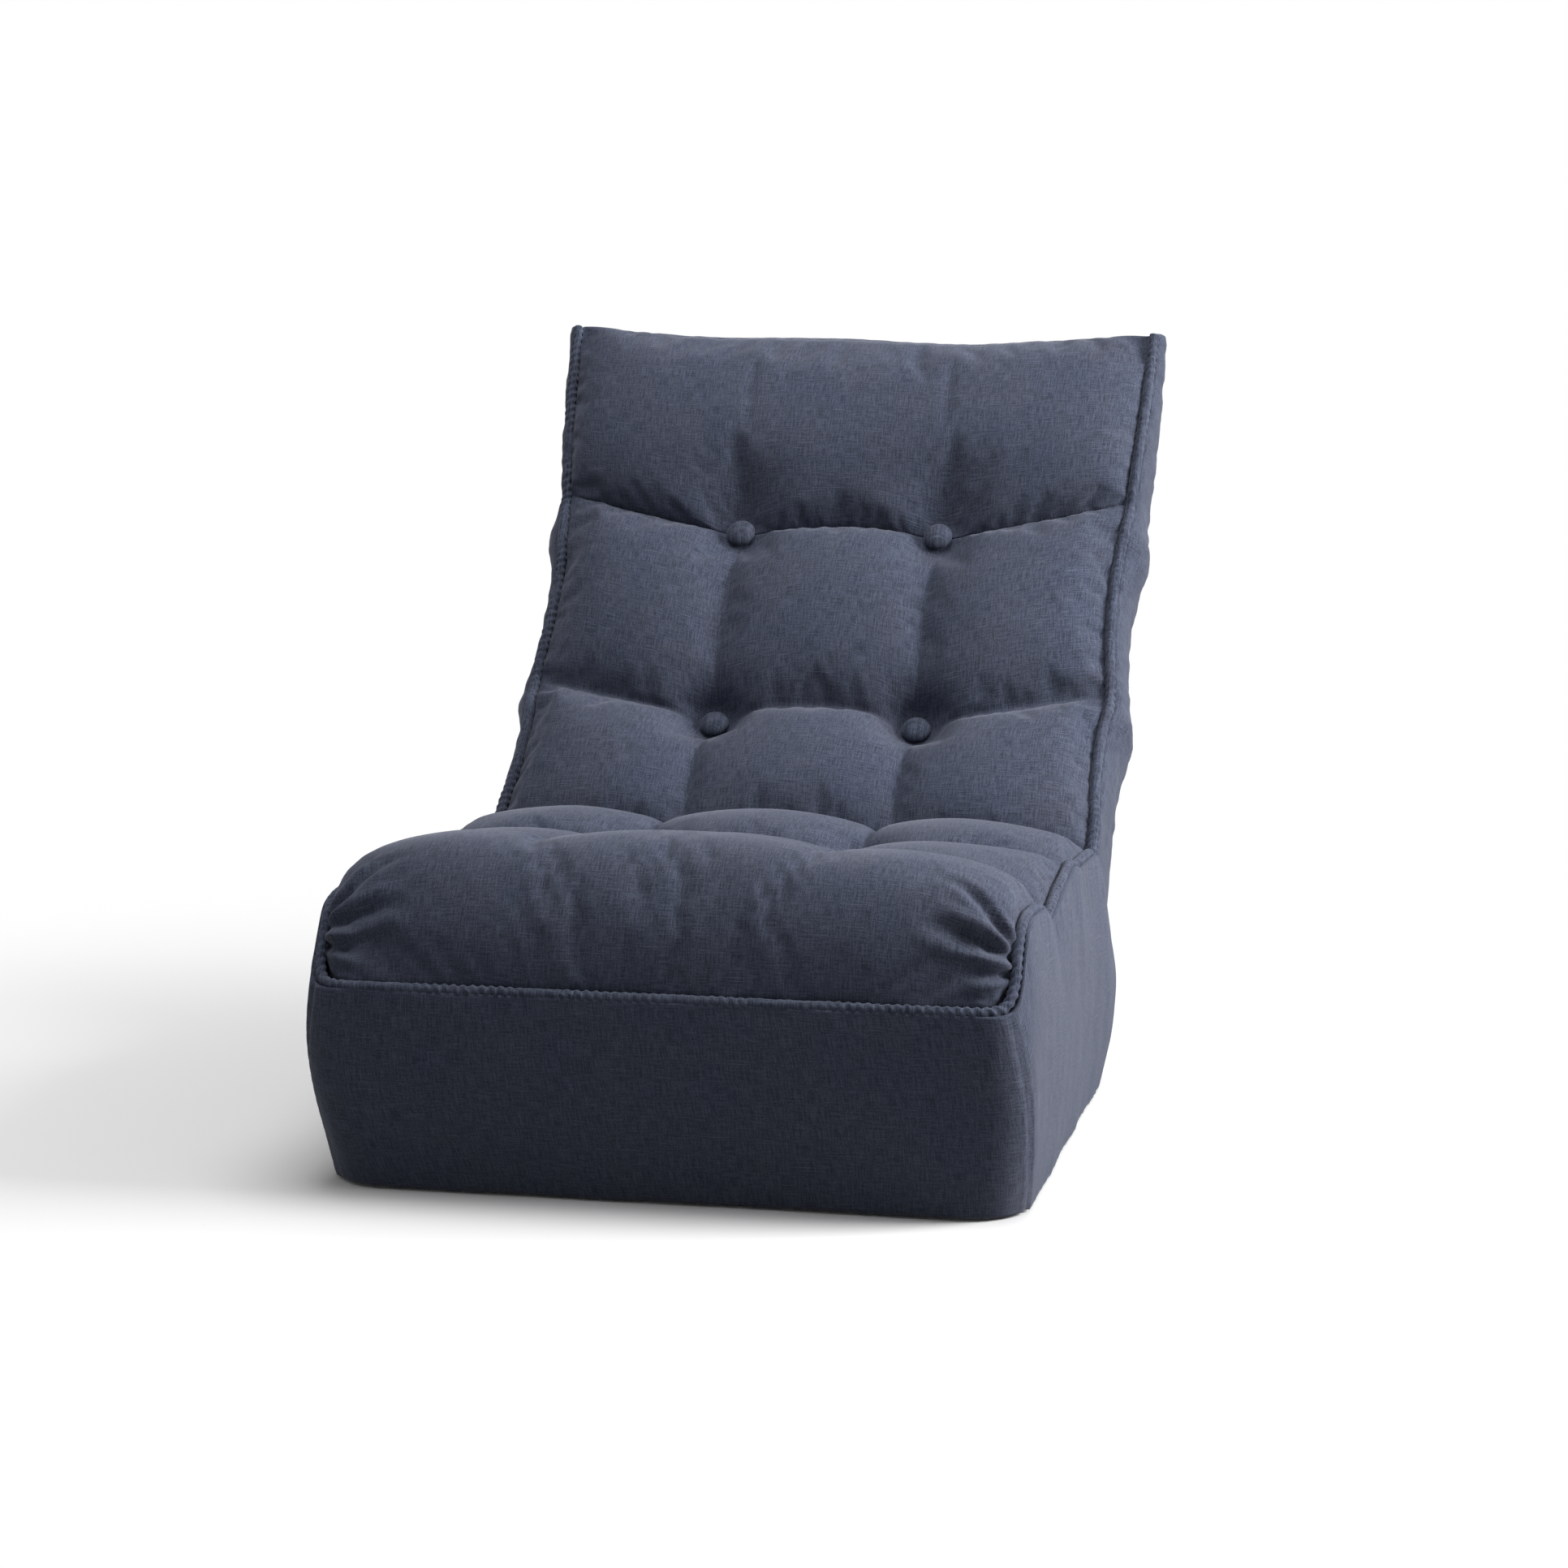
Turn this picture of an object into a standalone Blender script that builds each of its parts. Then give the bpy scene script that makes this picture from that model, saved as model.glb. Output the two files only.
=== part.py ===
"""Padded floor chair: a box seat, a tufted back and a headrest on ratchet hinges.

Metres, +Z up, +X to the sitter's left, +Y towards the back of the chair.
The origin is on the floor, in the middle of the seat base.
"""
import math

import bmesh
import bpy
from mathutils import Matrix, Vector

# Clearances between pieces that touch
GAP = 0.0003
FOAM_GAP = 0.0008
FOAM_INSET = 0.0030
TROUGH_GAP = 0.0035
PAD_TROUGH_GAP = 0.0060

# Seat base: plan, heights and lean of the front panel
BASE_HALF_WIDTH = 0.3125
BASE_FRONT_Y = -0.310
BASE_REAR_Y = 0.345
BASE_FRONT_LEAN = 0.040
BASE_REAR_LEAN = 0.045
BASE_SIDE_BULGE = 0.014
BASE_FRONT_BULGE = 0.004
BASE_CORNER_RADIUS = 0.030
BASE_FOOT_CORNER_RADIUS = 0.055
FRONT_WELT_Z = 0.191
SIDE_WELT_Z = 0.250
REAR_LIP_Z = 0.118
COVER_THICKNESS = 0.0035
BOTTOM_CLOTH_THICKNESS = 0.0025
BOTTOM_CLOTH_INSET = 0.012

# Seat cushion: its flat underside, its rows from front to rear and their crowns
SPLIT_Z = 0.166
SEAT_FRONT_SETBACK = 0.0062
SEAT_ROW_1_Y = -0.100
SEAT_ROW_2_Y = 0.060
FRONT_ROLL_Z = 0.323
SEAT_SEAM_Z = 0.252
SEAT_CROWN = 0.036
SEAT_REAR_EDGE_Z = 0.232
SEAT_REAR_SLOPE = 0.35
SEAT_REAR_SLOPE_START = 0.030
ROLL_CREST = 0.45

# Columns of the tufting, the same on the seat, the back and the headrest
BUTTON_X = 0.106
CUSHION_SIDE_GAP = 0.009
CUSHION_HALF_WIDTH = BASE_HALF_WIDTH - CUSHION_SIDE_GAP
WELT_RADIUS = 0.0045
WELT_INSET = 0.004
WELT_REAR_GAP = 0.012
WELT_STEP = 0.030
WELT_START_GAP = 0.0065
WELT_END_GAP = 0.002
HEAD_WELT_INSET = 0.0015
WELT_X = BASE_HALF_WIDTH - WELT_INSET

# Recline axis and the back's centre line, which bends once at the lumbar row
RECLINE_Y = 0.295
RECLINE_Z = 0.192
RECLINE_HUB_RADIUS = 0.068
SEAT_REAR_GAP = 0.010
SEAT_REAR_Y = RECLINE_Y - RECLINE_HUB_RADIUS - SEAT_REAR_GAP
BACK_LOWER_ANGLE = 46.0
BACK_UPPER_ANGLE = 53.0
BACK_LOWER_LENGTH = 0.203
BACK_UPPER_LENGTH = 0.248
LUMBAR_BEND_LENGTH = 0.080
START_ZONE = 0.070
END_ZONE = 0.130
BACK_SEAM_DEPTH = 0.055
BACK_CROWN = 0.040
BACK_REAR_DEPTH = 0.066
REAR_CORNER_RADIUS = 0.018
BACK_EDGE_DROP = 0.012
BACK_SIDE_BULGE = 0.010
HEAD_SIDE_BULGE = 0.006

# Headrest: its axis is the top end of the back's centre line
HEAD_ANGLE = 65.5
HEAD_LENGTH = 0.192
HEAD_HUB_RADIUS = 0.054
HEAD_CROWN = 0.040
HEAD_REAR_DEPTH = 0.054
HEAD_TOP_DEPTH = 0.030
HEAD_TOP_THICKNESS = 0.022
HEAD_COVER_SHORT = 0.001
HEAD_PAD_SHORT = 0.0384
HEAD_SEAM_SIDE = 0.018
HEAD_SEAM_SAG = 0.040
HUB_AT_BUTTON = 0.061
HUB_HOLLOW_WIDTH = 0.018
HUB_FACE = 8.0
HEAD_FORWARD_LIMIT = 30.0
HEAD_BACKWARD_LIMIT = 10.0

# Covered buttons
BUTTON_RADIUS = 0.0150
BUTTON_HEIGHT = 0.0085
BUTTON_NECK_RADIUS = 0.0045
BUTTON_NECK_HEIGHT = 0.0030
DIMPLE_RADIUS = 0.030
DIMPLE_DEPTH = 0.010
POCKET_GAP = 0.0010
POCKET_HEIGHT = 0.030
LOWER_BUTTON_SAG = 0.041
LOWER_BUTTON_DEPTH = 0.030
UPPER_BUTTON_DEPTH = 0.045
BUTTON_TONGUE = 0.0085
BACK_DIMPLE_RADIUS = 0.040

# Steel tube frame
TUBE_RADIUS = 0.0095
TUBE_WALL = 0.0012
SEAT_BEND_RADIUS = 0.060
HEAD_BEND_RADIUS = 0.036
SEAT_TUBE_FRONT_Y = -0.235
SEAT_TUBE_REAR_Y = 0.218
SEAT_CROSS_Y = 0.020
CROSS_BAR_RADIUS = 0.0060
BACK_TUBE_START = 0.048
BACK_TUBE_END_GAP = 0.066
LOWER_BAR_GAP = 0.021
UPPER_BAR_GAP = 0.016
HEAD_TUBE_START = 0.046
HEAD_TUBE_TOP = 0.118

# Ratchet hinges
HINGE_INSET = 0.0875
HINGE_X = BASE_HALF_WIDTH - HINGE_INSET
ARM_THICKNESS = 0.0040
CHEEK_THICKNESS = 0.0025
SLOT_GAP = 0.0004
SECTOR_RADIUS = 0.0240
TOOTH_DEPTH = 0.0030
TOOTH_PITCH = 15.0
VALLEY_SHARE = 0.25
CREST_START_SHARE = 0.85
CREST_END_SHARE = 0.98
PIVOT_RADIUS = 0.0050
PIVOT_HEAD_RADIUS = 0.0085
PIVOT_HEAD_HEIGHT = 0.0020
PAWL_PIN_RADIUS = 0.0025
PAWL_PIN_REACH = 0.0085
PAWL_PIN_ANGLE = 52.0
PAWL_SPAN_ANGLE = 34.0
PAWL_TIP_GAP = 0.0005
CASING_RADIUS = 0.0415
CASING_SLOT_RADIUS = 0.0430
CASING_DISC_END = 358.0
STRAP_HALF_WIDTH = 0.0085
RECLINE_STRAP_NECK = 0.050
RECLINE_STRAP_LENGTH = 0.125
HEAD_STRAP_NECK = 0.050
HEAD_STRAP_LENGTH = 0.105
RECLINE_ARM_LENGTH = 0.115
HEAD_ARM_LENGTH = 0.080
SPRING_RADIUS = 0.0392
SPRING_THICKNESS = 0.0006
SPRING_ROOT_ANGLE = 20.0
SPRING_TIP_ANGLE = 66.0
GROOVE_TOP = 0.0020
GROOVE_OVERRUN = 0.0015
SLOT_MARGIN = 0.0040
STRAP_SWEEP_START = 26.0

NAVY = (0.045, 0.060, 0.105, 1.0)
FOAM = (0.85, 0.80, 0.62, 1.0)
STEEL = (0.10, 0.10, 0.11, 1.0)
ZINC = (0.62, 0.62, 0.60, 1.0)
BLACK_CLOTH = (0.02, 0.02, 0.022, 1.0)


def clear_scene():
    for obj in list(bpy.data.objects):
        bpy.data.objects.remove(obj, do_unlink=True)


def make_collection(name):
    collection = bpy.data.collections.new(name)
    bpy.context.scene.collection.children.link(collection)
    return collection


clear_scene()
PARTS = make_collection("floor_chair")
CUTTERS = make_collection("cutters")


def make_material(name, colour, roughness, metallic):
    material = bpy.data.materials.new(name)
    material.use_nodes = True
    shader = material.node_tree.nodes["Principled BSDF"]
    shader.inputs["Base Color"].default_value = colour
    shader.inputs["Roughness"].default_value = roughness
    shader.inputs["Metallic"].default_value = metallic
    return material


def fabric(name):
    return make_material(name, NAVY, 0.90, 0.0)


def foam(name):
    return make_material(name, FOAM, 0.95, 0.0)


def painted_steel(name):
    return make_material(name, STEEL, 0.45, 0.0)


def zinc(name):
    return make_material(name, ZINC, 0.35, 1.0)


# Meshes and modifiers

def mesh_object(name, vertices, faces, material, collection=None):
    mesh = bpy.data.meshes.new(name)
    mesh.from_pydata(vertices, [], faces)
    mesh.validate()
    obj = bpy.data.objects.new(name, mesh)
    (collection or PARTS).objects.link(obj)
    if material:
        mesh.materials.append(material)
    return obj


def face_outward(obj, triangles=False):
    work = bmesh.new()
    work.from_mesh(obj.data)
    if triangles:
        bmesh.ops.triangulate(work, faces=work.faces[:])
    bmesh.ops.recalc_face_normals(work, faces=work.faces[:])
    work.to_mesh(obj.data)
    work.free()


def smooth(obj, angle=40.0):
    obj.data.shade_smooth()
    obj.data.set_sharp_from_angle(angle=math.radians(angle))


def hide_cutter(obj):
    obj.hide_render = True
    obj.display_type = "WIRE"


def cut(obj, cutter):
    modifier = obj.modifiers.new("cut_" + cutter.name, "BOOLEAN")
    modifier.operation = "DIFFERENCE"
    modifier.object = cutter
    hide_cutter(cutter)


def join(obj, cutter):
    modifier = obj.modifiers.new("join_" + cutter.name, "BOOLEAN")
    modifier.operation = "UNION"
    modifier.object = cutter
    hide_cutter(cutter)


def thicken(obj, thickness, offset=-1.0):
    modifier = obj.modifiers.new("wall", "SOLIDIFY")
    modifier.thickness = thickness
    modifier.offset = offset
    modifier.use_even_offset = True


def box_cutter(name, low, high):
    bpy.ops.mesh.primitive_cube_add(size=1.0)
    obj = bpy.context.active_object
    obj.name = name
    size = Vector(high) - Vector(low)
    middle = (Vector(high) + Vector(low)) / 2
    obj.data.transform(Matrix.Translation(middle) @ Matrix.Diagonal((*size, 1.0)))
    move_to(obj, CUTTERS)
    return obj


def move_to(obj, collection):
    for owner in list(obj.users_collection):
        owner.objects.unlink(obj)
    collection.objects.link(obj)


def x_cylinder(name, y, z, radius, x_low, x_high, sides=48, collection=None, material=None):
    """A cylinder along X, made round its own middle."""
    bpy.ops.mesh.primitive_cylinder_add(vertices=sides, radius=radius, depth=x_high - x_low)
    obj = bpy.context.active_object
    obj.name = name
    obj.data.transform(Matrix.Rotation(math.radians(90), 4, "Y"))
    obj.location = ((x_low + x_high) / 2, y, z)
    move_to(obj, collection or CUTTERS)
    if material:
        obj.data.materials.append(material)
    return obj


def spline_object(name, points, radius, caps=True, cyclic=False):
    """A curve through the points, with a round section."""
    curve = bpy.data.curves.new(name, "CURVE")
    curve.dimensions = "3D"
    curve.bevel_depth = radius
    curve.bevel_resolution = 2
    curve.use_fill_caps = caps and not cyclic
    spline = curve.splines.new("POLY")
    spline.points.add(len(points) - 1)
    for target, point in zip(spline.points, points):
        target.co = (*point, 1.0)
    spline.use_cyclic_u = cyclic
    obj = bpy.data.objects.new(name, curve)
    PARTS.objects.link(obj)
    return obj


def curve_to_mesh(obj, collection):
    """The curve's surface as a mesh object of the same name, with its caps welded."""
    name = obj.name
    bpy.context.view_layer.update()
    evaluated = obj.evaluated_get(bpy.context.evaluated_depsgraph_get())
    mesh = bpy.data.meshes.new_from_object(evaluated)
    matrix = obj.matrix_world.copy()
    bpy.data.objects.remove(obj, do_unlink=True)
    work = bmesh.new()
    work.from_mesh(mesh)
    bmesh.ops.remove_doubles(work, verts=work.verts[:], dist=0.00001)
    work.to_mesh(mesh)
    work.free()
    result = bpy.data.objects.new(name, mesh)
    result.matrix_world = matrix
    collection.objects.link(result)
    return result


def steel_tube(name, points, radius=TUBE_RADIUS):
    """A real tube: an open skin with a wall, its ends open."""
    obj = curve_to_mesh(spline_object(name, points, radius, caps=False), PARTS)
    obj.data.materials.clear()
    obj.data.materials.append(painted_steel(name))
    thicken(obj, TUBE_WALL)
    smooth(obj)
    return obj


def tube_cutter(name, points, radius):
    """A groove cutter along a tube, a little longer than the tube at both ends."""
    ends = [Vector(points[0]), Vector(points[-1])]
    first = ends[0] + (ends[0] - Vector(points[1])).normalized() * GROOVE_OVERRUN
    last = ends[1] + (ends[1] - Vector(points[-2])).normalized() * GROOVE_OVERRUN
    path = [tuple(first)] + list(points[1:-1]) + [tuple(last)]
    obj = curve_to_mesh(spline_object(name, path, radius), CUTTERS)
    face_outward(obj)
    return obj


def plate(name, outline, holes, x_low, x_high, material, collection=None):
    """A flat piece parallel to YZ, from an outline of (y, z) points and round holes."""
    curve = bpy.data.curves.new(name, "CURVE")
    curve.dimensions = "2D"
    curve.fill_mode = "BOTH"
    curve.extrude = (x_high - x_low) / 2
    loops = [outline] + [circle(y, z, radius, 14) for y, z, radius in holes]
    for loop in loops:
        spline = curve.splines.new("POLY")
        spline.points.add(len(loop) - 1)
        for target, (y, z) in zip(spline.points, loop):
            target.co = (y, z, 0.0, 1.0)
        spline.use_cyclic_u = True
    obj = bpy.data.objects.new(name, curve)
    PARTS.objects.link(obj)
    obj = curve_to_mesh(obj, collection or PARTS)
    turn = Matrix(((0, 0, 1, 0), (1, 0, 0, 0), (0, 1, 0, 0), (0, 0, 0, 1)))
    obj.data.transform(Matrix.Translation(((x_low + x_high) / 2, 0, 0)) @ turn)
    face_outward(obj)
    obj.data.materials.clear()
    if material:
        obj.data.materials.append(material)
    return obj


def circle(y, z, radius, count):
    return [(y + radius * math.cos(2 * math.pi * i / count),
             z + radius * math.sin(2 * math.pi * i / count)) for i in range(count)]


def arc(y, z, radius, start, end, count):
    """Points on an arc, angles in degrees."""
    points = []
    for i in range(count + 1):
        angle = math.radians(start + (end - start) * i / count)
        points.append((y + radius * math.cos(angle), z + radius * math.sin(angle)))
    return points


def lathe(name, profile, material, steps=24):
    """A turned piece about +Z; the profile's (radius, height) points run top to bottom."""
    vertices = [(radius, 0.0, height) for radius, height in profile]
    edges = [(i, i + 1) for i in range(len(profile) - 1)]
    mesh = bpy.data.meshes.new(name)
    mesh.from_pydata(vertices, edges, [])
    mesh.materials.append(material)
    obj = bpy.data.objects.new(name, mesh)
    PARTS.objects.link(obj)
    screw = obj.modifiers.new("turn", "SCREW")
    screw.steps = steps
    screw.render_steps = steps
    screw.use_merge_vertices = True
    screw.merge_threshold = 0.00005
    screw.use_smooth_shade = False
    return obj


# Centre lines: each gives (y, z, angle) at a distance along it

def back_line(distance):
    lower = math.radians(BACK_LOWER_ANGLE)
    turn = math.radians(BACK_UPPER_ANGLE - BACK_LOWER_ANGLE)
    bend_start = BACK_LOWER_LENGTH - LUMBAR_BEND_LENGTH / 2
    bend_end = BACK_LOWER_LENGTH + LUMBAR_BEND_LENGTH / 2
    along = min(distance, bend_start)
    y = RECLINE_Y + along * math.cos(lower)
    z = RECLINE_Z + along * math.sin(lower)
    angle = lower
    if distance > bend_start:
        radius = LUMBAR_BEND_LENGTH / turn
        angle = lower + min(distance - bend_start, LUMBAR_BEND_LENGTH) / radius
        y += radius * (math.sin(angle) - math.sin(lower))
        z += radius * (math.cos(lower) - math.cos(angle))
    if distance > bend_end:
        y += (distance - bend_end) * math.cos(angle)
        z += (distance - bend_end) * math.sin(angle)
    return y, z, angle


BACK_LENGTH = BACK_LOWER_LENGTH + BACK_UPPER_LENGTH
HEAD_Y, HEAD_Z = back_line(BACK_LENGTH)[:2]


def head_line(distance):
    angle = math.radians(HEAD_ANGLE)
    return HEAD_Y + distance * math.cos(angle), HEAD_Z + distance * math.sin(angle), angle


SEAT_FRONT_Y = BASE_FRONT_Y + SEAT_FRONT_SETBACK


def seat_line(distance):
    return SEAT_FRONT_Y + distance, SPLIT_Z, 0.0


def from_start(low, distance):
    """A nominal distance fitted to a start that is drawn forward or back."""
    if distance < START_ZONE:
        return low + (START_ZONE - low) * distance / START_ZONE
    return distance


def between(low, high, distance, length):
    """A nominal distance fitted between two ends, unchanged away from them."""
    zone = min(END_ZONE, length / 2)
    if distance > length - zone:
        return high - (high - length + zone) * (length - distance) / zone
    return from_start(low, distance)


def place(line, distance, depth):
    """The (y, z) point at a distance along a line and a depth in front of it."""
    y, z, angle = line(distance)
    return y - depth * math.sin(angle), z + depth * math.cos(angle)


# Ends of the padded pieces round the two hinge axes

def hub_start(radius):
    """The round end of a moving piece: where it begins at each depth."""
    def start(depth, x=0.0):
        return -math.sqrt(max(radius ** 2 - depth ** 2, 0.0))
    return start


def trough_end(depth, radius, slope):
    """The hollow end of the back that the headrest's hub turns in, cut back by its sweep."""
    hollow = math.sqrt(max(radius ** 2 - depth ** 2, 0.0))
    return BACK_LENGTH - max(hollow, abs(depth) * slope)


RECLINE_TROUGH_RADIUS = RECLINE_HUB_RADIUS + TROUGH_GAP
HEAD_BEND = HEAD_ANGLE - BACK_UPPER_ANGLE
SWEEP_MARGIN = 2.0
FRONT_SWEEP = math.radians(HEAD_BEND + HEAD_FORWARD_LIMIT + SWEEP_MARGIN)
REAR_SWEEP = math.radians(max(HEAD_BACKWARD_LIMIT - HEAD_BEND + SWEEP_MARGIN, SWEEP_MARGIN))
HEAD_SEAM_DEPTH = math.sqrt(HEAD_HUB_RADIUS ** 2 - HEAD_SEAM_SIDE ** 2)


def seam_sag(x, rise):
    """How far a seam across has sagged: 0 at the sides, 1 at the buttons, less by rise between them."""
    part = max(abs(x) - BUTTON_X, 0.0) / (CUSHION_HALF_WIDTH - BUTTON_X)
    return 1 - min(part, 1.0) ** 1.3 - rise * math.cos(math.pi / 2 * min(abs(x) / BUTTON_X, 1.0))


def head_seam(x):
    """How far below the headrest's axis its seam runs."""
    return HEAD_SEAM_SIDE + HEAD_SEAM_SAG * seam_sag(x, 0.4)


def seam_hub(x):
    """Radius round the headrest's axis that its seam lies on."""
    return math.hypot(head_seam(x), HEAD_SEAM_DEPTH)


def by_button(x):
    """1 beside a button and 0 away from it."""
    return math.exp(-((abs(x) - BUTTON_X) / HUB_HOLLOW_WIDTH) ** 4)


def head_hub(x):
    """Radius of the headrest's round front end, drawn in where it passes a button."""
    radius = seam_hub(x)
    return radius - (radius - HUB_AT_BUTTON) * by_button(x)


def head_start(depth, x):
    return -math.sqrt(max(head_hub(x) ** 2 - depth ** 2, 0.0))


back_start = hub_start(RECLINE_HUB_RADIUS)
head_rear_start = hub_start(HEAD_HUB_RADIUS)


def back_end(depth, x):
    return trough_end(depth, head_hub(x) + TROUGH_GAP, head_seam(x) / HEAD_SEAM_DEPTH)


def back_pad_end(depth, x):
    return trough_end(depth, seam_hub(x) + PAD_TROUGH_GAP, math.tan(REAR_SWEEP))


def back_cover_end(depth, x):
    return trough_end(depth, HEAD_HUB_RADIUS + TROUGH_GAP, math.tan(REAR_SWEEP))


def head_end(depth, x):
    return HEAD_LENGTH


# Quilting

def bump(value, low, high, power):
    """A rounded hump between two seams, 0 at both and 1 half way."""
    part = min(max((value - low) / (high - low), 0.0), 1.0)
    return math.sin(math.pi * part) ** power


def column_hump(x, depth):
    """1 at the middle of a column and less by depth at the seams between columns."""
    if abs(x) <= BUTTON_X:
        hump = bump(x, -BUTTON_X, BUTTON_X, 0.6)
    else:
        middle = (BUTTON_X + CUSHION_HALF_WIDTH) / 2
        inner = bump(abs(x), BUTTON_X, 2 * middle - BUTTON_X, 0.6)
        hump = inner if abs(x) < middle else 1.0
    return 1 - depth + depth * hump


def side_fall(x, power):
    """1 over most of the width, falling round to 0 at the side seam."""
    part = min(abs(x) / CUSHION_HALF_WIDTH, 1.0)
    return (1 - part ** power) ** 0.5


def dimple(x, along, seam, radius=DIMPLE_RADIUS):
    """How far a button pulls the surface in, from 1 at the button to 0."""
    distance = math.hypot(abs(x) - BUTTON_X, along - seam)
    return math.exp(-(distance / radius) ** 2 * 2)


def eased(low, high, count):
    """Values from low to high, closer together near both ends."""
    return [low + (high - low) * (1 - math.cos(math.pi * i / count)) / 2 for i in range(count + 1)]


def column_stations(half_width, count):
    """Places across the width, closer together near the seams."""
    middle = eased(-BUTTON_X, BUTTON_X, count)
    right = eased(BUTTON_X, half_width, count)
    return [-x for x in reversed(right)] + middle[1:] + right[1:]


def slab(name, material, line, stations, rows, front, rear, start, end, length, arc_points=3):
    """A padded piece lofted across the width from side sections in (distance, depth)."""
    sections = []
    for x in stations:
        section = []
        distances = rows(x)
        top = [front(x, distance) for distance in distances]
        for distance, depth in zip(distances, top):
            low = start(max(depth, top[0]), x)
            section.append((min(from_start(low, distance), end(depth, x)), depth))
        low = rear(x, length)
        for i in range(1, arc_points + 1):
            depth = top[-1] + (low - top[-1]) * i / (arc_points + 1)
            section.append((end(depth, x), depth))
        low = start(rear(x, 0.0), x)
        high = end(rear(x, length), x)
        for part in (1.0, 0.8, 0.6, 0.45, 0.3, 0.0):
            distance = low + (high - low) * part
            section.append((distance, rear(x, min(max(distance, 0.0), length))))
        low = rear(x, 0.0)
        for i in range(1, arc_points + 1):
            depth = low + (top[0] - low) * i / (arc_points + 1)
            section.append((start(depth, x), depth))
        sections.append([(x, *place(line, s, t)) for s, t in section])
    return loft(name, material, sections)


def loft(name, material, sections):
    """A closed solid through like-numbered sections, capped at both ends."""
    count = len(sections[0])
    vertices = [point for section in sections for point in section]
    faces = [tuple(range(count)), tuple((len(sections) - 1) * count + i for i in range(count))]
    for j in range(len(sections) - 1):
        for i in range(count):
            k = (i + 1) % count
            faces.append((j * count + i, j * count + k, (j + 1) * count + k, (j + 1) * count + i))
    obj = mesh_object(name, vertices, faces, material)
    face_outward(obj, triangles=True)
    smooth(obj, 60.0)
    return obj


# Seat cushion

SEAT_LENGTH = SEAT_REAR_Y - SEAT_FRONT_Y
SEAT_SEAM_1 = SEAT_ROW_1_Y - SEAT_FRONT_Y
SEAT_SEAM_2 = SEAT_ROW_2_Y - SEAT_FRONT_Y
FRONT_RISE = 0.055
EDGE_PROUD = 0.012
CORNER_PROUD = 0.045


def seat_edge_height(distance):
    """Height of the side welt above the floor along the seat."""
    part = min(distance / FRONT_RISE, 1.0)
    rise = math.sin(math.pi / 2 * part) ** 1.5
    return FRONT_WELT_Z + (SIDE_WELT_Z - FRONT_WELT_Z) * rise


def seat_top(x, distance):
    shift = seat_start(0.0, x)
    edge = seat_edge_height(max(distance, from_start(shift, distance)))
    proud = EDGE_PROUD
    if distance <= SEAT_SEAM_1:
        proud = CORNER_PROUD
        part = distance / SEAT_SEAM_1
        if part < ROLL_CREST:
            swell = (1 - (1 - part / ROLL_CREST) ** 2.2) ** 0.5
            middle = FRONT_WELT_Z + (FRONT_ROLL_Z - FRONT_WELT_Z) * swell
        else:
            fall = (part - ROLL_CREST) / (1 - ROLL_CREST)
            middle = FRONT_ROLL_Z - (FRONT_ROLL_Z - SEAT_SEAM_Z) * fall ** 2.6
        channel = 0.10 + 0.25 * max(part - 0.5, 0.0)
    else:
        low, high = SEAT_SEAM_1, SEAT_SEAM_2
        if distance > SEAT_SEAM_2:
            low, high = SEAT_SEAM_2, SEAT_LENGTH
        last = SEAT_REAR_EDGE_Z if high == SEAT_LENGTH else SEAT_SEAM_Z
        base = SEAT_SEAM_Z + (last - SEAT_SEAM_Z) * ((distance - low) / (high - low)) ** 3
        middle = base + SEAT_CROWN * bump(distance, low, high, 0.55)
        channel = 0.55
    edge = min(edge, middle + proud)
    height = edge + (middle - edge) * side_fall(x, 4.5) * column_hump(x, channel)
    pull = dimple(x, distance, SEAT_SEAM_1) + dimple(x, distance, SEAT_SEAM_2)
    return height - DIMPLE_DEPTH * pull - SPLIT_Z


def seat_under(x, distance):
    return GAP


def seat_start(depth, x=0.0):
    """The front end of the seat cushion, rounded in plan at the two front corners."""
    past = max(abs(x) - (CUSHION_HALF_WIDTH - BASE_CORNER_RADIUS), 0.0)
    return BASE_CORNER_RADIUS - math.sqrt(max(BASE_CORNER_RADIUS ** 2 - past ** 2, 0.0))


def seat_end(depth, x):
    """The rear end, leaning forward above so that the back can swing upright."""
    return SEAT_LENGTH - max(depth - SEAT_REAR_SLOPE_START, 0.0) * SEAT_REAR_SLOPE


def make_seat_cushion():
    stations = column_stations(CUSHION_HALF_WIDTH, 8)
    places = eased(0.0, SEAT_SEAM_1, 10) + eased(SEAT_SEAM_1, SEAT_SEAM_2, 7)[1:]
    places += eased(SEAT_SEAM_2, SEAT_LENGTH, 7)[1:]
    return slab("seat_cushion", fabric("seat_cushion"), seat_line, stations,
                lambda x: places,
                seat_top, seat_under, seat_start, seat_end, SEAT_LENGTH, arc_points=1)


# Back and headrest cushions and their foam pads

BACK_SEAM = BACK_LOWER_LENGTH
LOWER_BUTTON = BACK_SEAM - LOWER_BUTTON_SAG
UPPER_BUTTON = BACK_LENGTH - head_seam(BUTTON_X)


def back_seam(x):
    """Where the lumbar seam runs: it sags from the side seams down to the buttons."""
    return BACK_SEAM - LOWER_BUTTON_SAG * seam_sag(x, 0.3)


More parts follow.
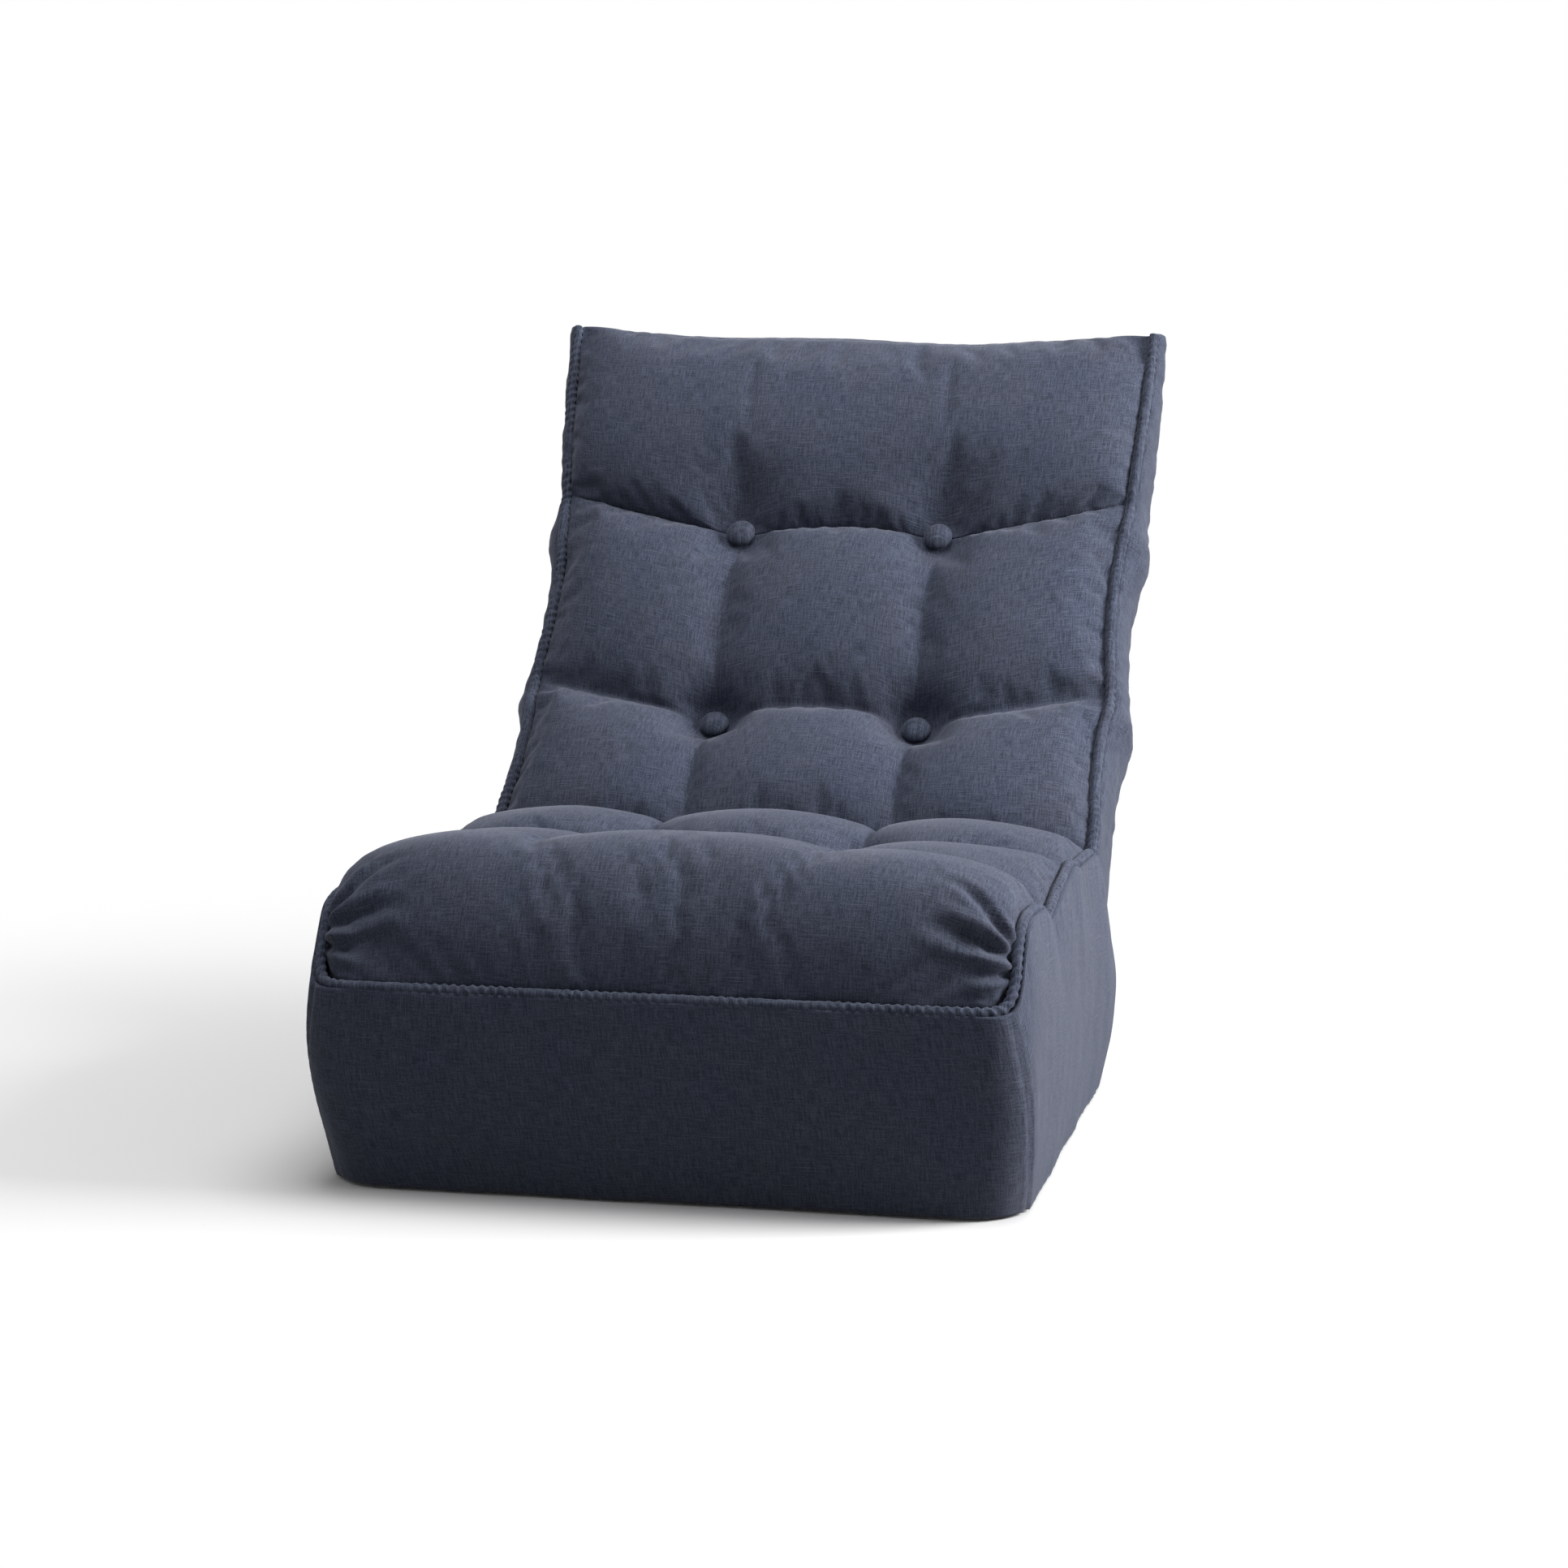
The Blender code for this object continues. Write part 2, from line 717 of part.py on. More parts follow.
def back_front(x, distance):
    """Depth of the quilted front of the back, in front of the centre line."""
    seam = back_seam(x)
    top = BACK_LENGTH - head_seam(x)
    if distance < seam:
        base = RECLINE_HUB_RADIUS + (BACK_SEAM_DEPTH - RECLINE_HUB_RADIUS) * distance / seam
        hump = bump(distance, 0.0, seam, 0.55)
    else:
        part = min((distance - seam) / (top - seam), 1.0)
        base = BACK_SEAM_DEPTH + (HEAD_SEAM_DEPTH - BACK_SEAM_DEPTH) * part
        hump = bump(distance, seam, top, 0.55)
    depth = base + BACK_CROWN * hump * column_hump(x, 0.55) * side_fall(x, 4.0)
    lower = dimple(x, distance, LOWER_BUTTON, BACK_DIMPLE_RADIUS)
    upper = dimple(x, distance, UPPER_BUTTON, BACK_DIMPLE_RADIUS)
    depth -= (depth - LOWER_BUTTON_DEPTH - DIMPLE_DEPTH) * lower
    return depth - (depth - UPPER_BUTTON_DEPTH) * upper


def pad_front(x, distance):
    return -GAP


def cushion_rear(x, distance):
    return GAP


def back_rear(x, distance):
    part = distance / BACK_LENGTH
    depth = BACK_REAR_DEPTH + (HEAD_HUB_RADIUS - BACK_REAR_DEPTH) * part
    return -(depth - COVER_THICKNESS - FOAM_GAP) * (0.90 + 0.10 * side_fall(x, 8.0))


def back_rows(x):
    """Rows of points between the seams; a short tongue runs on under each upper button."""
    seam = back_seam(x)
    top = BACK_LENGTH - head_seam(x) + BUTTON_TONGUE * by_button(x)
    return eased(0.0, seam, 8) + eased(seam, top, 8)[1:]


def even_rows(count, end):
    return lambda x: [end(-GAP, x) * i / count for i in range(count + 1)]


def make_back_cushion():
    stations = column_stations(CUSHION_HALF_WIDTH, 8)
    return slab("back_cushion", fabric("back_cushion"), back_line, stations, back_rows,
                back_front, cushion_rear, back_start, back_end, BACK_LENGTH)


def make_back_pad():
    stations = column_stations(CUSHION_HALF_WIDTH, 4)
    return slab("back_pad", foam("back_pad"), back_line, stations, even_rows(10, back_pad_end),
                pad_front, back_rear, back_start, back_pad_end, BACK_LENGTH)


def head_edge(distance):
    """Depth of the side welt on the headrest; it reaches the top corner."""
    part = distance / HEAD_LENGTH
    return HEAD_HUB_RADIUS + (HEAD_TOP_DEPTH - HEAD_HUB_RADIUS) * part ** 1.5


def head_front(x, distance):
    """Depth of the headrest's front: round its axis at first, so that it tilts clear of the back."""
    radius = head_hub(x)
    seam_angle = math.atan2(head_seam(x), HEAD_SEAM_DEPTH)
    face = max(FRONT_SWEEP - seam_angle, math.radians(HUB_FACE))
    past = distance - radius * math.sin(face)
    if past <= 0:
        return math.sqrt(radius ** 2 - distance ** 2)
    part = distance / HEAD_LENGTH
    swell = HEAD_CROWN * math.sin(math.pi * min(part, 1.0)) ** 0.6
    folds = 1 - 0.45 * dimple(x, distance, 0.0, 0.075)
    depth = head_edge(distance) + swell * side_fall(x, 5.0) * folds
    return min(max(depth, radius * math.cos(face) - 0.5 * past), distance / math.tan(face))


def head_rear(x, distance):
    part = distance / HEAD_LENGTH
    depth = HEAD_REAR_DEPTH - COVER_THICKNESS - GAP
    taper = depth * (1 - part ** 2.4) - (HEAD_TOP_DEPTH - HEAD_TOP_THICKNESS) * part ** 2.4
    return -taper


def make_head_cushion():
    stations = column_stations(CUSHION_HALF_WIDTH, 8)

    def rear(x, distance):
        return max(GAP, head_rear(x, distance) + FOAM_INSET)

    return slab("headrest_cushion", fabric("headrest_cushion"), head_line, stations,
                lambda x: eased(0.0, HEAD_LENGTH, 12),
                head_front, rear, head_start, head_end, HEAD_LENGTH)


HEAD_PAD_LENGTH = HEAD_LENGTH - HEAD_PAD_SHORT
PAD_EDGE = 0.004


def make_head_pad():
    stations = eased(-CUSHION_HALF_WIDTH, CUSHION_HALF_WIDTH, 8)

    def rear(x, distance):
        return min(head_rear(x, distance) + 1.5 * FOAM_INSET, -PAD_EDGE)

    def end(depth, x):
        return HEAD_PAD_LENGTH

    return slab("headrest_pad", foam("headrest_pad"), head_line, stations, even_rows(8, end),
                pad_front, rear, head_rear_start, end, HEAD_PAD_LENGTH)


# Covers: open skins with a wall

def base_ring(level, inset=0.0):
    """One loop of the base's outer skin; level runs from 0 at the floor to 1 at the top edge."""
    lean = (1 - level) ** 1.3
    bulge = BASE_SIDE_BULGE * math.sin(math.pi * min(level * 0.85 + 0.08, 1.0))
    half = BASE_HALF_WIDTH + bulge - inset
    front = BASE_FRONT_Y - BASE_FRONT_BULGE + BASE_FRONT_LEAN * lean - bulge * 0.3 + inset
    rear = BASE_REAR_Y - BASE_REAR_LEAN * lean - inset
    corner = BASE_CORNER_RADIUS + (BASE_FOOT_CORNER_RADIUS - BASE_CORNER_RADIUS) * (1 - level)
    points = []
    for i in range(5):
        points.append((-half + corner + (half - corner) * 2 * i / 4, front))
    points += [(half - corner + corner * math.sin(a), front + corner - corner * math.cos(a))
               for a in (math.radians(22.5 * k) for k in range(1, 5))]
    side_ys = side_stations(front + corner, rear - corner)
    points += [(half, y) for y in side_ys]
    points += [(half - corner + corner * math.cos(a), rear - corner + corner * math.sin(a))
               for a in (math.radians(22.5 * k) for k in range(1, 5))]
    for i in range(1, 5):
        points.append((half - corner - (half - corner) * 2 * i / 4, rear))
    points += [(-half + corner - corner * math.sin(a), rear - corner + corner * math.cos(a))
               for a in (math.radians(22.5 * k) for k in range(1, 5))]
    points += [(-half, y) for y in reversed(side_ys)]
    points += [(-half + corner - corner * math.cos(a), front + corner - corner * math.sin(a))
               for a in (math.radians(22.5 * k) for k in range(1, 4))]
    return points


def side_stations(low, high):
    """Places along the side wall, close together where its top edge drops to the rear lip."""
    top_low = BASE_FRONT_Y - BASE_FRONT_BULGE + BASE_CORNER_RADIUS
    top_high = BASE_REAR_Y - BASE_CORNER_RADIUS
    drop = [SEAT_REAR_Y - 0.015, SEAT_REAR_Y - 0.003, RECLINE_Y - RECLINE_TROUGH_RADIUS,
            RECLINE_Y - 0.068, RECLINE_Y - 0.058, RECLINE_Y - 0.035, RECLINE_Y - 0.005]
    top = [top_low + (drop[0] - top_low) * i / 8 for i in range(1, 8)] + drop
    return [low + (high - low) * (y - top_low) / (top_high - top_low) for y in top]


def base_top_edge(x, y, welt_drop):
    """Height of the cover's top edge at a place in plan."""
    height = seat_edge_height(max(y - BASE_FRONT_Y, 0.0)) - welt_drop
    if y > SEAT_REAR_Y - 0.002:
        offset = RECLINE_Y - y
        if offset > 0:
            drop = math.sqrt(max(RECLINE_TROUGH_RADIUS ** 2 - offset ** 2, 0.0))
            height = min(height, RECLINE_Z - drop)
        else:
            height = REAR_LIP_Z
        height = max(height, REAR_LIP_Z)
    return height


def make_base_cover():
    levels = [0.0, 0.12, 0.3, 0.5, 0.7, 0.88, 1.0]
    floor = BOTTOM_CLOTH_THICKNESS + GAP
    rows = []
    top_ring = base_ring(1.0)
    for level in levels:
        row = []
        for (x, y), (top_x, top_y) in zip(base_ring(level), top_ring):
            top = base_top_edge(top_x, top_y, WELT_RADIUS + GAP)
            row.append((x, y, floor + (top - floor) * level))
        rows.append(row)
    count = len(rows[0])
    vertices = [point for row in rows for point in row]
    faces = []
    for j in range(len(rows) - 1):
        for i in range(count):
            k = (i + 1) % count
            faces.append((j * count + i, j * count + k, (j + 1) * count + k, (j + 1) * count + i))
    obj = mesh_object("base_cover", vertices, faces, fabric("base_cover"))
    thicken(obj, COVER_THICKNESS)
    smooth(obj, 50.0)
    return obj


def make_base_foam():
    inset = COVER_THICKNESS + FOAM_INSET
    floor = BOTTOM_CLOTH_THICKNESS + GAP
    top = SPLIT_Z - GAP
    edges = [base_top_edge(x, y, WELT_RADIUS + GAP) for x, y in base_ring(1.0)]
    sections = []
    for share in (0.0, 0.15, 0.4, 0.65, 0.85, 1.0):
        z = floor + (top - floor) * share
        levels = [min((z - floor) / (edge - floor), 1.0) for edge in edges]
        ring = [base_ring(level, inset)[i] for i, level in enumerate(levels)]
        sections.append([(x, y, z) for x, y in ring])
    obj = loft("base_foam", foam("base_foam"), sections)
    wide = BASE_HALF_WIDTH + 0.1
    cut(obj, x_cylinder("cut_trough", RECLINE_Y, RECLINE_Z, RECLINE_TROUGH_RADIUS, -wide, wide))
    cut(obj, box_cutter("cut_lip", (-wide, RECLINE_Y - 0.001, REAR_LIP_Z - GAP),
                        (wide, RECLINE_Y + 0.3, 0.4)))
    return obj


def make_bottom_cloth():
    ring = base_ring(0.0, BOTTOM_CLOTH_INSET)
    count = len(ring)
    vertices = [(x, y, 0.0) for x, y in ring] + [(x, y, BOTTOM_CLOTH_THICKNESS) for x, y in ring]
    faces = [tuple(range(count)), tuple(count + i for i in range(count))]
    faces += [(i, (i + 1) % count, count + (i + 1) % count, count + i) for i in range(count)]
    obj = mesh_object("bottom_cloth", vertices, faces, make_material("bottom_cloth", BLACK_CLOTH, 0.9, 0.0))
    face_outward(obj)
    return obj


def side_cover(name, line, start, end, length, edge, rear, bulge, stations):
    """The rear panel and both gussets of a padded piece, in one folded skin."""
    corner = REAR_CORNER_RADIUS
    rows = []
    for part in stations:
        front = edge(part * length)
        back = rear(part * length)
        depths = [front + (back + corner - front) * i / 4 for i in range(5)]
        outline = []
        for depth in depths:
            rise = (front - depth) / max(front - back, 0.001)
            outline.append((BASE_HALF_WIDTH + bulge * math.sin(math.pi * rise), depth))
        outline += [(BASE_HALF_WIDTH - corner + corner * math.cos(a), back + corner - corner * math.sin(a))
                    for a in (math.radians(30 * k) for k in range(1, 4))]
        half = outline + [((BASE_HALF_WIDTH - corner) * share, back) for share in (0.75, 0.5, 0.25)]
        full = half + [(0.0, back)] + [(-x, depth) for x, depth in reversed(half)]
        row = []
        for x, depth in full:
            distance = between(start(depth), end(depth, x), part * length, length)
            row.append((x, *place(line, distance, depth)))
        rows.append(row)
    count = len(rows[0])
    vertices = [point for row in rows for point in row]
    faces = []
    for j in range(len(rows) - 1):
        for i in range(count - 1):
            faces.append((j * count + i, j * count + i + 1, (j + 1) * count + i + 1, (j + 1) * count + i))
    obj = mesh_object(name, vertices, faces, fabric(name))
    return obj


def back_cover_edge(distance):
    part = distance / BACK_LENGTH
    low = RECLINE_HUB_RADIUS - BACK_EDGE_DROP
    base = low + (BACK_SEAM_DEPTH - low) * min(part * 3, 1.0)
    return base - WELT_RADIUS


def back_cover_rear(distance):
    part = distance / BACK_LENGTH
    return -(BACK_REAR_DEPTH + (HEAD_HUB_RADIUS - BACK_REAR_DEPTH) * part)


def make_back_cover():
    stations = [i / 12 for i in range(13)]
    obj = side_cover("back_cover", back_line, back_start, back_cover_end, BACK_LENGTH,
                     back_cover_edge, back_cover_rear, BACK_SIDE_BULGE, stations)
    thicken(obj, COVER_THICKNESS)
    smooth(obj, 50.0)
    return obj


def back_welt_path(count=26):
    """Places along the back's side welts, which end level with the gusset's round end."""
    path = []
    for i in range(count + 1):
        nominal = BACK_LENGTH * i / count
        edge = back_cover_edge(nominal)
        low = back_start(edge + WELT_RADIUS) + WELT_START_GAP
        high = back_cover_end(edge, WELT_X) - WELT_END_GAP
        path.append((between(low, high, nominal, BACK_LENGTH), edge + WELT_RADIUS + GAP))
    return path


BACK_WELT_END, BACK_WELT_END_DEPTH = back_welt_path()[-1]
WELT_SEAM_ANGLE = math.atan2(BACK_LENGTH - BACK_WELT_END, BACK_WELT_END_DEPTH + WELT_RADIUS)
HEAD_WELT_FACE = FRONT_SWEEP - WELT_SEAM_ANGLE
HEAD_WELT_HUB = HEAD_HUB_RADIUS - HEAD_WELT_INSET


def head_cover_edge(distance):
    """Top of the headrest's gusset: low by the axis, so that its welt swings past the back's."""
    return min(head_edge(distance), HEAD_WELT_HUB * math.cos(HEAD_WELT_FACE)) - 2 * WELT_RADIUS - GAP


def head_cover_rear(distance):
    return head_rear(0.0, distance) - COVER_THICKNESS - GAP


def make_head_cover():
    stations = [i / 8 for i in range(9)]

    def rear(distance):
        return min(head_cover_rear(distance), head_cover_edge(distance) - HEAD_TOP_THICKNESS)

    obj = side_cover("headrest_cover", head_line, head_rear_start, head_end, HEAD_LENGTH - HEAD_COVER_SHORT,
                     head_cover_edge, rear, HEAD_SIDE_BULGE, stations)
    thicken(obj, COVER_THICKNESS)
    smooth(obj, 50.0)
    return obj


# Welts

def make_seat_welt():
    points = []
    front_y = BASE_FRONT_Y - BASE_FRONT_BULGE + COVER_THICKNESS
    corner = BASE_CORNER_RADIUS
    half = WELT_X
    rear_y = SEAT_REAR_Y - WELT_REAR_GAP
    front_end = front_y + corner + WELT_STEP / 2
    steps = int((rear_y - front_end) / WELT_STEP)
    path = [(half, rear_y - WELT_STEP * i) for i in range(steps + 1)]
    path += [(half - corner + corner * math.cos(a), front_y + corner - corner * math.sin(a))
             for a in (math.radians(15 * k) for k in range(0, 7))]
    right = path + [((half - corner) * share, front_y) for share in (0.75, 0.5, 0.25)]
    full = right + [(0.0, front_y)] + [(-x, y) for x, y in reversed(right)]
    for x, y in full:
        points.append((x, y, seat_edge_height(max(y - BASE_FRONT_Y, 0.0))))
    obj = curve_to_mesh(spline_object("seat_welt", points, WELT_RADIUS), PARTS)
    obj.data.materials.append(fabric("seat_welt"))
    smooth(obj)
    return obj


def head_welt_path(count=16):
    """Places along the headrest's side welts, from just above the ends of the back's."""
    first = HEAD_WELT_HUB * math.sin(WELT_SEAM_ANGLE - math.radians(HEAD_BEND + SWEEP_MARGIN))
    path = []
    for i in range(count + 1):
        distance = -first + (HEAD_LENGTH + first) * i / count
        path.append((distance, head_cover_edge(max(distance, 0.0)) + WELT_RADIUS + GAP))
    return path


def side_welt(name, line, path, side):
    points = [(side * WELT_X, *place(line, distance, depth)) for distance, depth in path]
    obj = curve_to_mesh(spline_object(name, points, WELT_RADIUS), PARTS)
    obj.data.materials.append(fabric(name))
    smooth(obj)
    return obj


# Covered buttons

def button(name, line, side, distance, surface_depth):
    top = BUTTON_HEIGHT + BUTTON_NECK_HEIGHT
    profile = [(0.0, top)]
    for degrees in (35, 65, 90):
        turn = math.radians(degrees)
        height = BUTTON_NECK_HEIGHT + BUTTON_HEIGHT * (0.35 + 0.65 * math.cos(turn))
        profile.append((BUTTON_RADIUS * math.sin(turn), height))
    profile += [(BUTTON_RADIUS * 0.92, BUTTON_NECK_HEIGHT), (BUTTON_NECK_RADIUS, BUTTON_NECK_HEIGHT),
                (BUTTON_NECK_RADIUS, 0.0), (0.0, 0.0)]
    obj = lathe(name, profile, fabric(name), steps=16)
    obj.location = (side * BUTTON_X, *place(line, distance, surface_depth + GAP))
    obj.rotation_euler = (line(distance)[2], 0.0, 0.0)
    obj.data.shade_smooth()
    return obj


def button_pocket(name, obj, cushion):
    """The puckered pocket that a button sinks into."""
    depth = BUTTON_HEIGHT + BUTTON_NECK_HEIGHT + POCKET_HEIGHT
    bpy.ops.mesh.primitive_cylinder_add(vertices=20, radius=BUTTON_RADIUS + POCKET_GAP, depth=depth)
    cutter = bpy.context.active_object
    cutter.name = name
    cutter.data.transform(Matrix.Translation((0, 0, depth / 2 - GAP)))
    cutter.location = obj.location
    cutter.rotation_euler = obj.rotation_euler
    move_to(cutter, CUTTERS)
    cut(cushion, cutter)


def make_buttons(seat_cushion, back_cushion):
    for side, label in ((-1, "right"), (1, "left")):
        for row, seam in (("front", SEAT_SEAM_1), ("rear", SEAT_SEAM_2)):
            obj = button(f"seat_button_{row}_{label}", seat_line, side, seam, seat_top(BUTTON_X, seam))
            button_pocket(f"cut_seat_{row}_{label}", obj, seat_cushion)
        for row, distance, depth in (("lower", LOWER_BUTTON, LOWER_BUTTON_DEPTH),
                                     ("upper", UPPER_BUTTON, UPPER_BUTTON_DEPTH)):
            obj = button(f"back_button_{row}_{label}", back_line, side, distance, depth)
            button_pocket(f"cut_back_{row}_{label}", obj, back_cushion)


# Frame tubes

def bent_path(corners, radius, steps=6):
    """A path through 3-D corners, each rounded by an arc of the given radius."""
    points = [Vector(corners[0])]
    for before, corner, after in zip(corners, corners[1:], corners[2:]):
        before, corner, after = Vector(before), Vector(corner), Vector(after)
        a = (before - corner).normalized()
        b = (after - corner).normalized()
        half = a.angle(b) / 2
        reach = radius / math.tan(half)
        centre = corner + (a + b).normalized() * (radius / math.sin(half))
        first = corner + a * reach - centre
        last = corner + b * reach - centre
        total = first.angle(last)
        for i in range(steps + 1):
            t = i / steps
            mix = (first * math.sin((1 - t) * total) + last * math.sin(t * total)) / math.sin(total)
            points.append(centre + mix)
    points.append(Vector(corners[-1]))
    return [tuple(point) for point in points]


SEAT_TUBE_Z = SPLIT_Z - GAP - TUBE_RADIUS
CASING_HALF = ARM_THICKNESS / 2 + SLOT_GAP + CHEEK_THICKNESS
SEAT_TUBE_X = HINGE_X + CASING_HALF + GAP + TUBE_RADIUS
BACK_TUBE_X = HINGE_X + ARM_THICKNESS / 2 + GAP + TUBE_RADIUS
HEAD_HINGE_X = BACK_TUBE_X - TUBE_RADIUS - GAP - CASING_HALF
HEAD_TUBE_X = HEAD_HINGE_X + ARM_THICKNESS / 2 + GAP + TUBE_RADIUS
TUBE_DEPTH = -(TUBE_RADIUS + GAP)


def seat_tube_path():
    z = SEAT_TUBE_Z
    corners = [(-SEAT_TUBE_X, SEAT_TUBE_REAR_Y, z), (-SEAT_TUBE_X, SEAT_TUBE_FRONT_Y, z),
               (SEAT_TUBE_X, SEAT_TUBE_FRONT_Y, z), (SEAT_TUBE_X, SEAT_TUBE_REAR_Y, z)]
    return bent_path(corners, SEAT_BEND_RADIUS)


def back_tube_path(side):
    last = BACK_LENGTH - BACK_TUBE_END_GAP
    count = 12
    points = []
    for i in range(count + 1):
        distance = BACK_TUBE_START + (last - BACK_TUBE_START) * i / count
        points.append((side * BACK_TUBE_X, *place(back_line, distance, TUBE_DEPTH)))
    return points


def head_tube_path():
    def corner(side, distance):
        return (side * HEAD_TUBE_X, *place(head_line, distance, TUBE_DEPTH))
    corners = [corner(-1, HEAD_TUBE_START), corner(-1, HEAD_TUBE_TOP),
               corner(1, HEAD_TUBE_TOP), corner(1, HEAD_TUBE_START)]
    return bent_path(corners, HEAD_BEND_RADIUS)


def cross_bar(name, y, z, half_length):
    obj = x_cylinder(name, y, z, CROSS_BAR_RADIUS, -half_length, half_length, sides=12,
                     collection=PARTS, material=painted_steel(name))
    smooth(obj)
    return obj


def make_frame(base_foam, back_pad, head_pad):
    room = TUBE_RADIUS + FOAM_GAP
    steel_tube("seat_frame", seat_tube_path())
    cut(base_foam, tube_cutter("cut_seat_frame", seat_tube_path(), room))
    cross_bar("seat_cross_bar", SEAT_CROSS_Y, SEAT_TUBE_Z, SEAT_TUBE_X - TUBE_RADIUS - GAP)
    cut(base_foam, box_cutter("cut_seat_cross", (-SEAT_TUBE_X, SEAT_CROSS_Y - CROSS_BAR_RADIUS - FOAM_GAP,
                                                 SEAT_TUBE_Z - CROSS_BAR_RADIUS - FOAM_GAP),
                              (SEAT_TUBE_X, SEAT_CROSS_Y + CROSS_BAR_RADIUS + FOAM_GAP, SPLIT_Z + 0.01)))
    for side, label in ((-1, "right"), (1, "left")):
        steel_tube(f"back_tube_{label}", back_tube_path(side))
        cut(back_pad, tube_cutter(f"cut_back_tube_{label}", back_tube_path(side), room))
    bars = (RECLINE_ARM_LENGTH + LOWER_BAR_GAP, BACK_LENGTH - HEAD_STRAP_LENGTH - UPPER_BAR_GAP)
    for number, distance in enumerate(bars, 1):
        y, z = place(back_line, distance, -CROSS_BAR_RADIUS - GAP)
        cross_bar(f"back_cross_bar_{number}", y, z, BACK_TUBE_X - TUBE_RADIUS - GAP)
        reach = BACK_TUBE_X - TUBE_RADIUS / 2
        groove = x_cylinder(f"cut_back_cross_{number}", y, z, CROSS_BAR_RADIUS + 2 * FOAM_GAP,
                            -reach, reach, sides=14)
        cut(back_pad, groove)
    steel_tube("headrest_frame", head_tube_path())
    cut(head_pad, tube_cutter("cut_head_frame", head_tube_path(), room))


# Ratchet hinges

class Hinge:
    """A ratchet hinge: its axis, the directions of its lower strap and upper arm, its place."""

    def __init__(self, prefix, x, axis_y, axis_z, lower, upper, strap_offset,
                 neck, reach, disc_start, arm_length):
        self.prefix = prefix
        self.x = x
        self.y = axis_y
        self.z = axis_z
        self.lower = math.radians(lower)
        self.upper = math.radians(upper)
        self.strap_offset = strap_offset
        self.neck = neck
        self.reach = reach
        self.disc_start = disc_start
        self.arm_length = arm_length

    def point(self, angle, along, across=0.0):
        """A point at a distance from the axis in a direction, and across it."""
        return (self.y + along * math.cos(angle) - across * math.sin(angle),
                self.z + along * math.sin(angle) + across * math.cos(angle))

    def round_point(self, degrees, radius):
        """A point on a circle round the axis, at an angle from the lower strap."""
        angle = self.lower + math.radians(degrees)
        return self.y + radius * math.cos(angle), self.z + radius * math.sin(angle)


def casing_outline(hinge):
    """A disc round the axis, with a strap beside the lower tube."""
    lower = math.degrees(hinge.lower)
    points = arc(hinge.y, hinge.z, CASING_RADIUS, lower + hinge.disc_start, lower + CASING_DISC_END, 20)
    near = hinge.strap_offset - STRAP_HALF_WIDTH
    far = hinge.strap_offset + STRAP_HALF_WIDTH
    points.append(hinge.point(hinge.lower, hinge.neck, near))
    points.append(hinge.point(hinge.lower, hinge.reach, near))
    points.append(hinge.point(hinge.lower, hinge.reach, far))
    points.append(hinge.point(hinge.lower, hinge.neck * 0.8, far))
    return points


def arm_outline(hinge):
    """The arm: ratchet teeth round the axis, and a strap beside the upper tube."""
    offset = TUBE_DEPTH
    spread = math.asin(STRAP_HALF_WIDTH / SECTOR_RADIUS)
    start = math.degrees(hinge.upper + spread)
    teeth = int((360 - 3 * math.degrees(spread)) / TOOTH_PITCH)
    points = []
    for i in range(teeth):
        base = start + i * TOOTH_PITCH
        root = SECTOR_RADIUS - TOOTH_DEPTH
        valley_end = base + TOOTH_PITCH * VALLEY_SHARE
        crest_start = base + TOOTH_PITCH * CREST_START_SHARE
        crest_end = base + TOOTH_PITCH * CREST_END_SHARE
        points += arc(hinge.y, hinge.z, root, base, valley_end, 1)
        points += arc(hinge.y, hinge.z, SECTOR_RADIUS, crest_start, crest_end, 1)
    points.append(hinge.point(hinge.upper, SECTOR_RADIUS * 1.1, offset - STRAP_HALF_WIDTH))
    points.append(hinge.point(hinge.upper, hinge.arm_length, offset - STRAP_HALF_WIDTH))
    points.append(hinge.point(hinge.upper, hinge.arm_length, offset + STRAP_HALF_WIDTH))
    points.append(hinge.point(hinge.upper, SECTOR_RADIUS * 1.3, offset + STRAP_HALF_WIDTH))
    return points


def pawl_pin(hinge):
    return hinge.round_point(PAWL_PIN_ANGLE, SECTOR_RADIUS + PAWL_PIN_REACH)


def pawl_outline(hinge):
    """A curved catch from its pin to its tip, which stands just clear of the teeth."""
    pin = pawl_pin(hinge)
    tip = hinge.round_point(PAWL_PIN_ANGLE + PAWL_SPAN_ANGLE, SECTOR_RADIUS + PAWL_TIP_GAP)
    along = Vector((tip[0] - pin[0], tip[1] - pin[1]))
    length = along.length
    along.normalize()
    inward = Vector((-along.y, along.x))

    def local(a, c):
        point = Vector(pin) + along * a + inward * c
        return point.x, point.y

    return [local(-0.0050, 0.0000), local(-0.0036, 0.0036), local(0.0010, 0.0044),
            local(length * 0.45, 0.0022), local(length - 0.0008, 0.0000),
            local(length + 0.0004, -0.0024), local(length * 0.5, -0.0040),
            local(0.0000, -0.0042), local(-0.0040, -0.0030)]


def spring_outline(hinge):
    """A leaf spring: rooted in the casing's web, curving over the back of the pawl."""
    inner = SPRING_RADIUS
    outer = SPRING_RADIUS + SPRING_THICKNESS
    lower = math.degrees(hinge.lower)
    root = SPRING_ROOT_ANGLE
    points = arc(hinge.y, hinge.z, inner, lower + root - 8, lower + SPRING_TIP_ANGLE, 8)
    points += arc(hinge.y, hinge.z, outer, lower + SPRING_TIP_ANGLE, lower + root, 8)
    points += arc(hinge.y, hinge.z, CASING_SLOT_RADIUS - GAP, lower + root, lower + root - 8, 2)
    return points


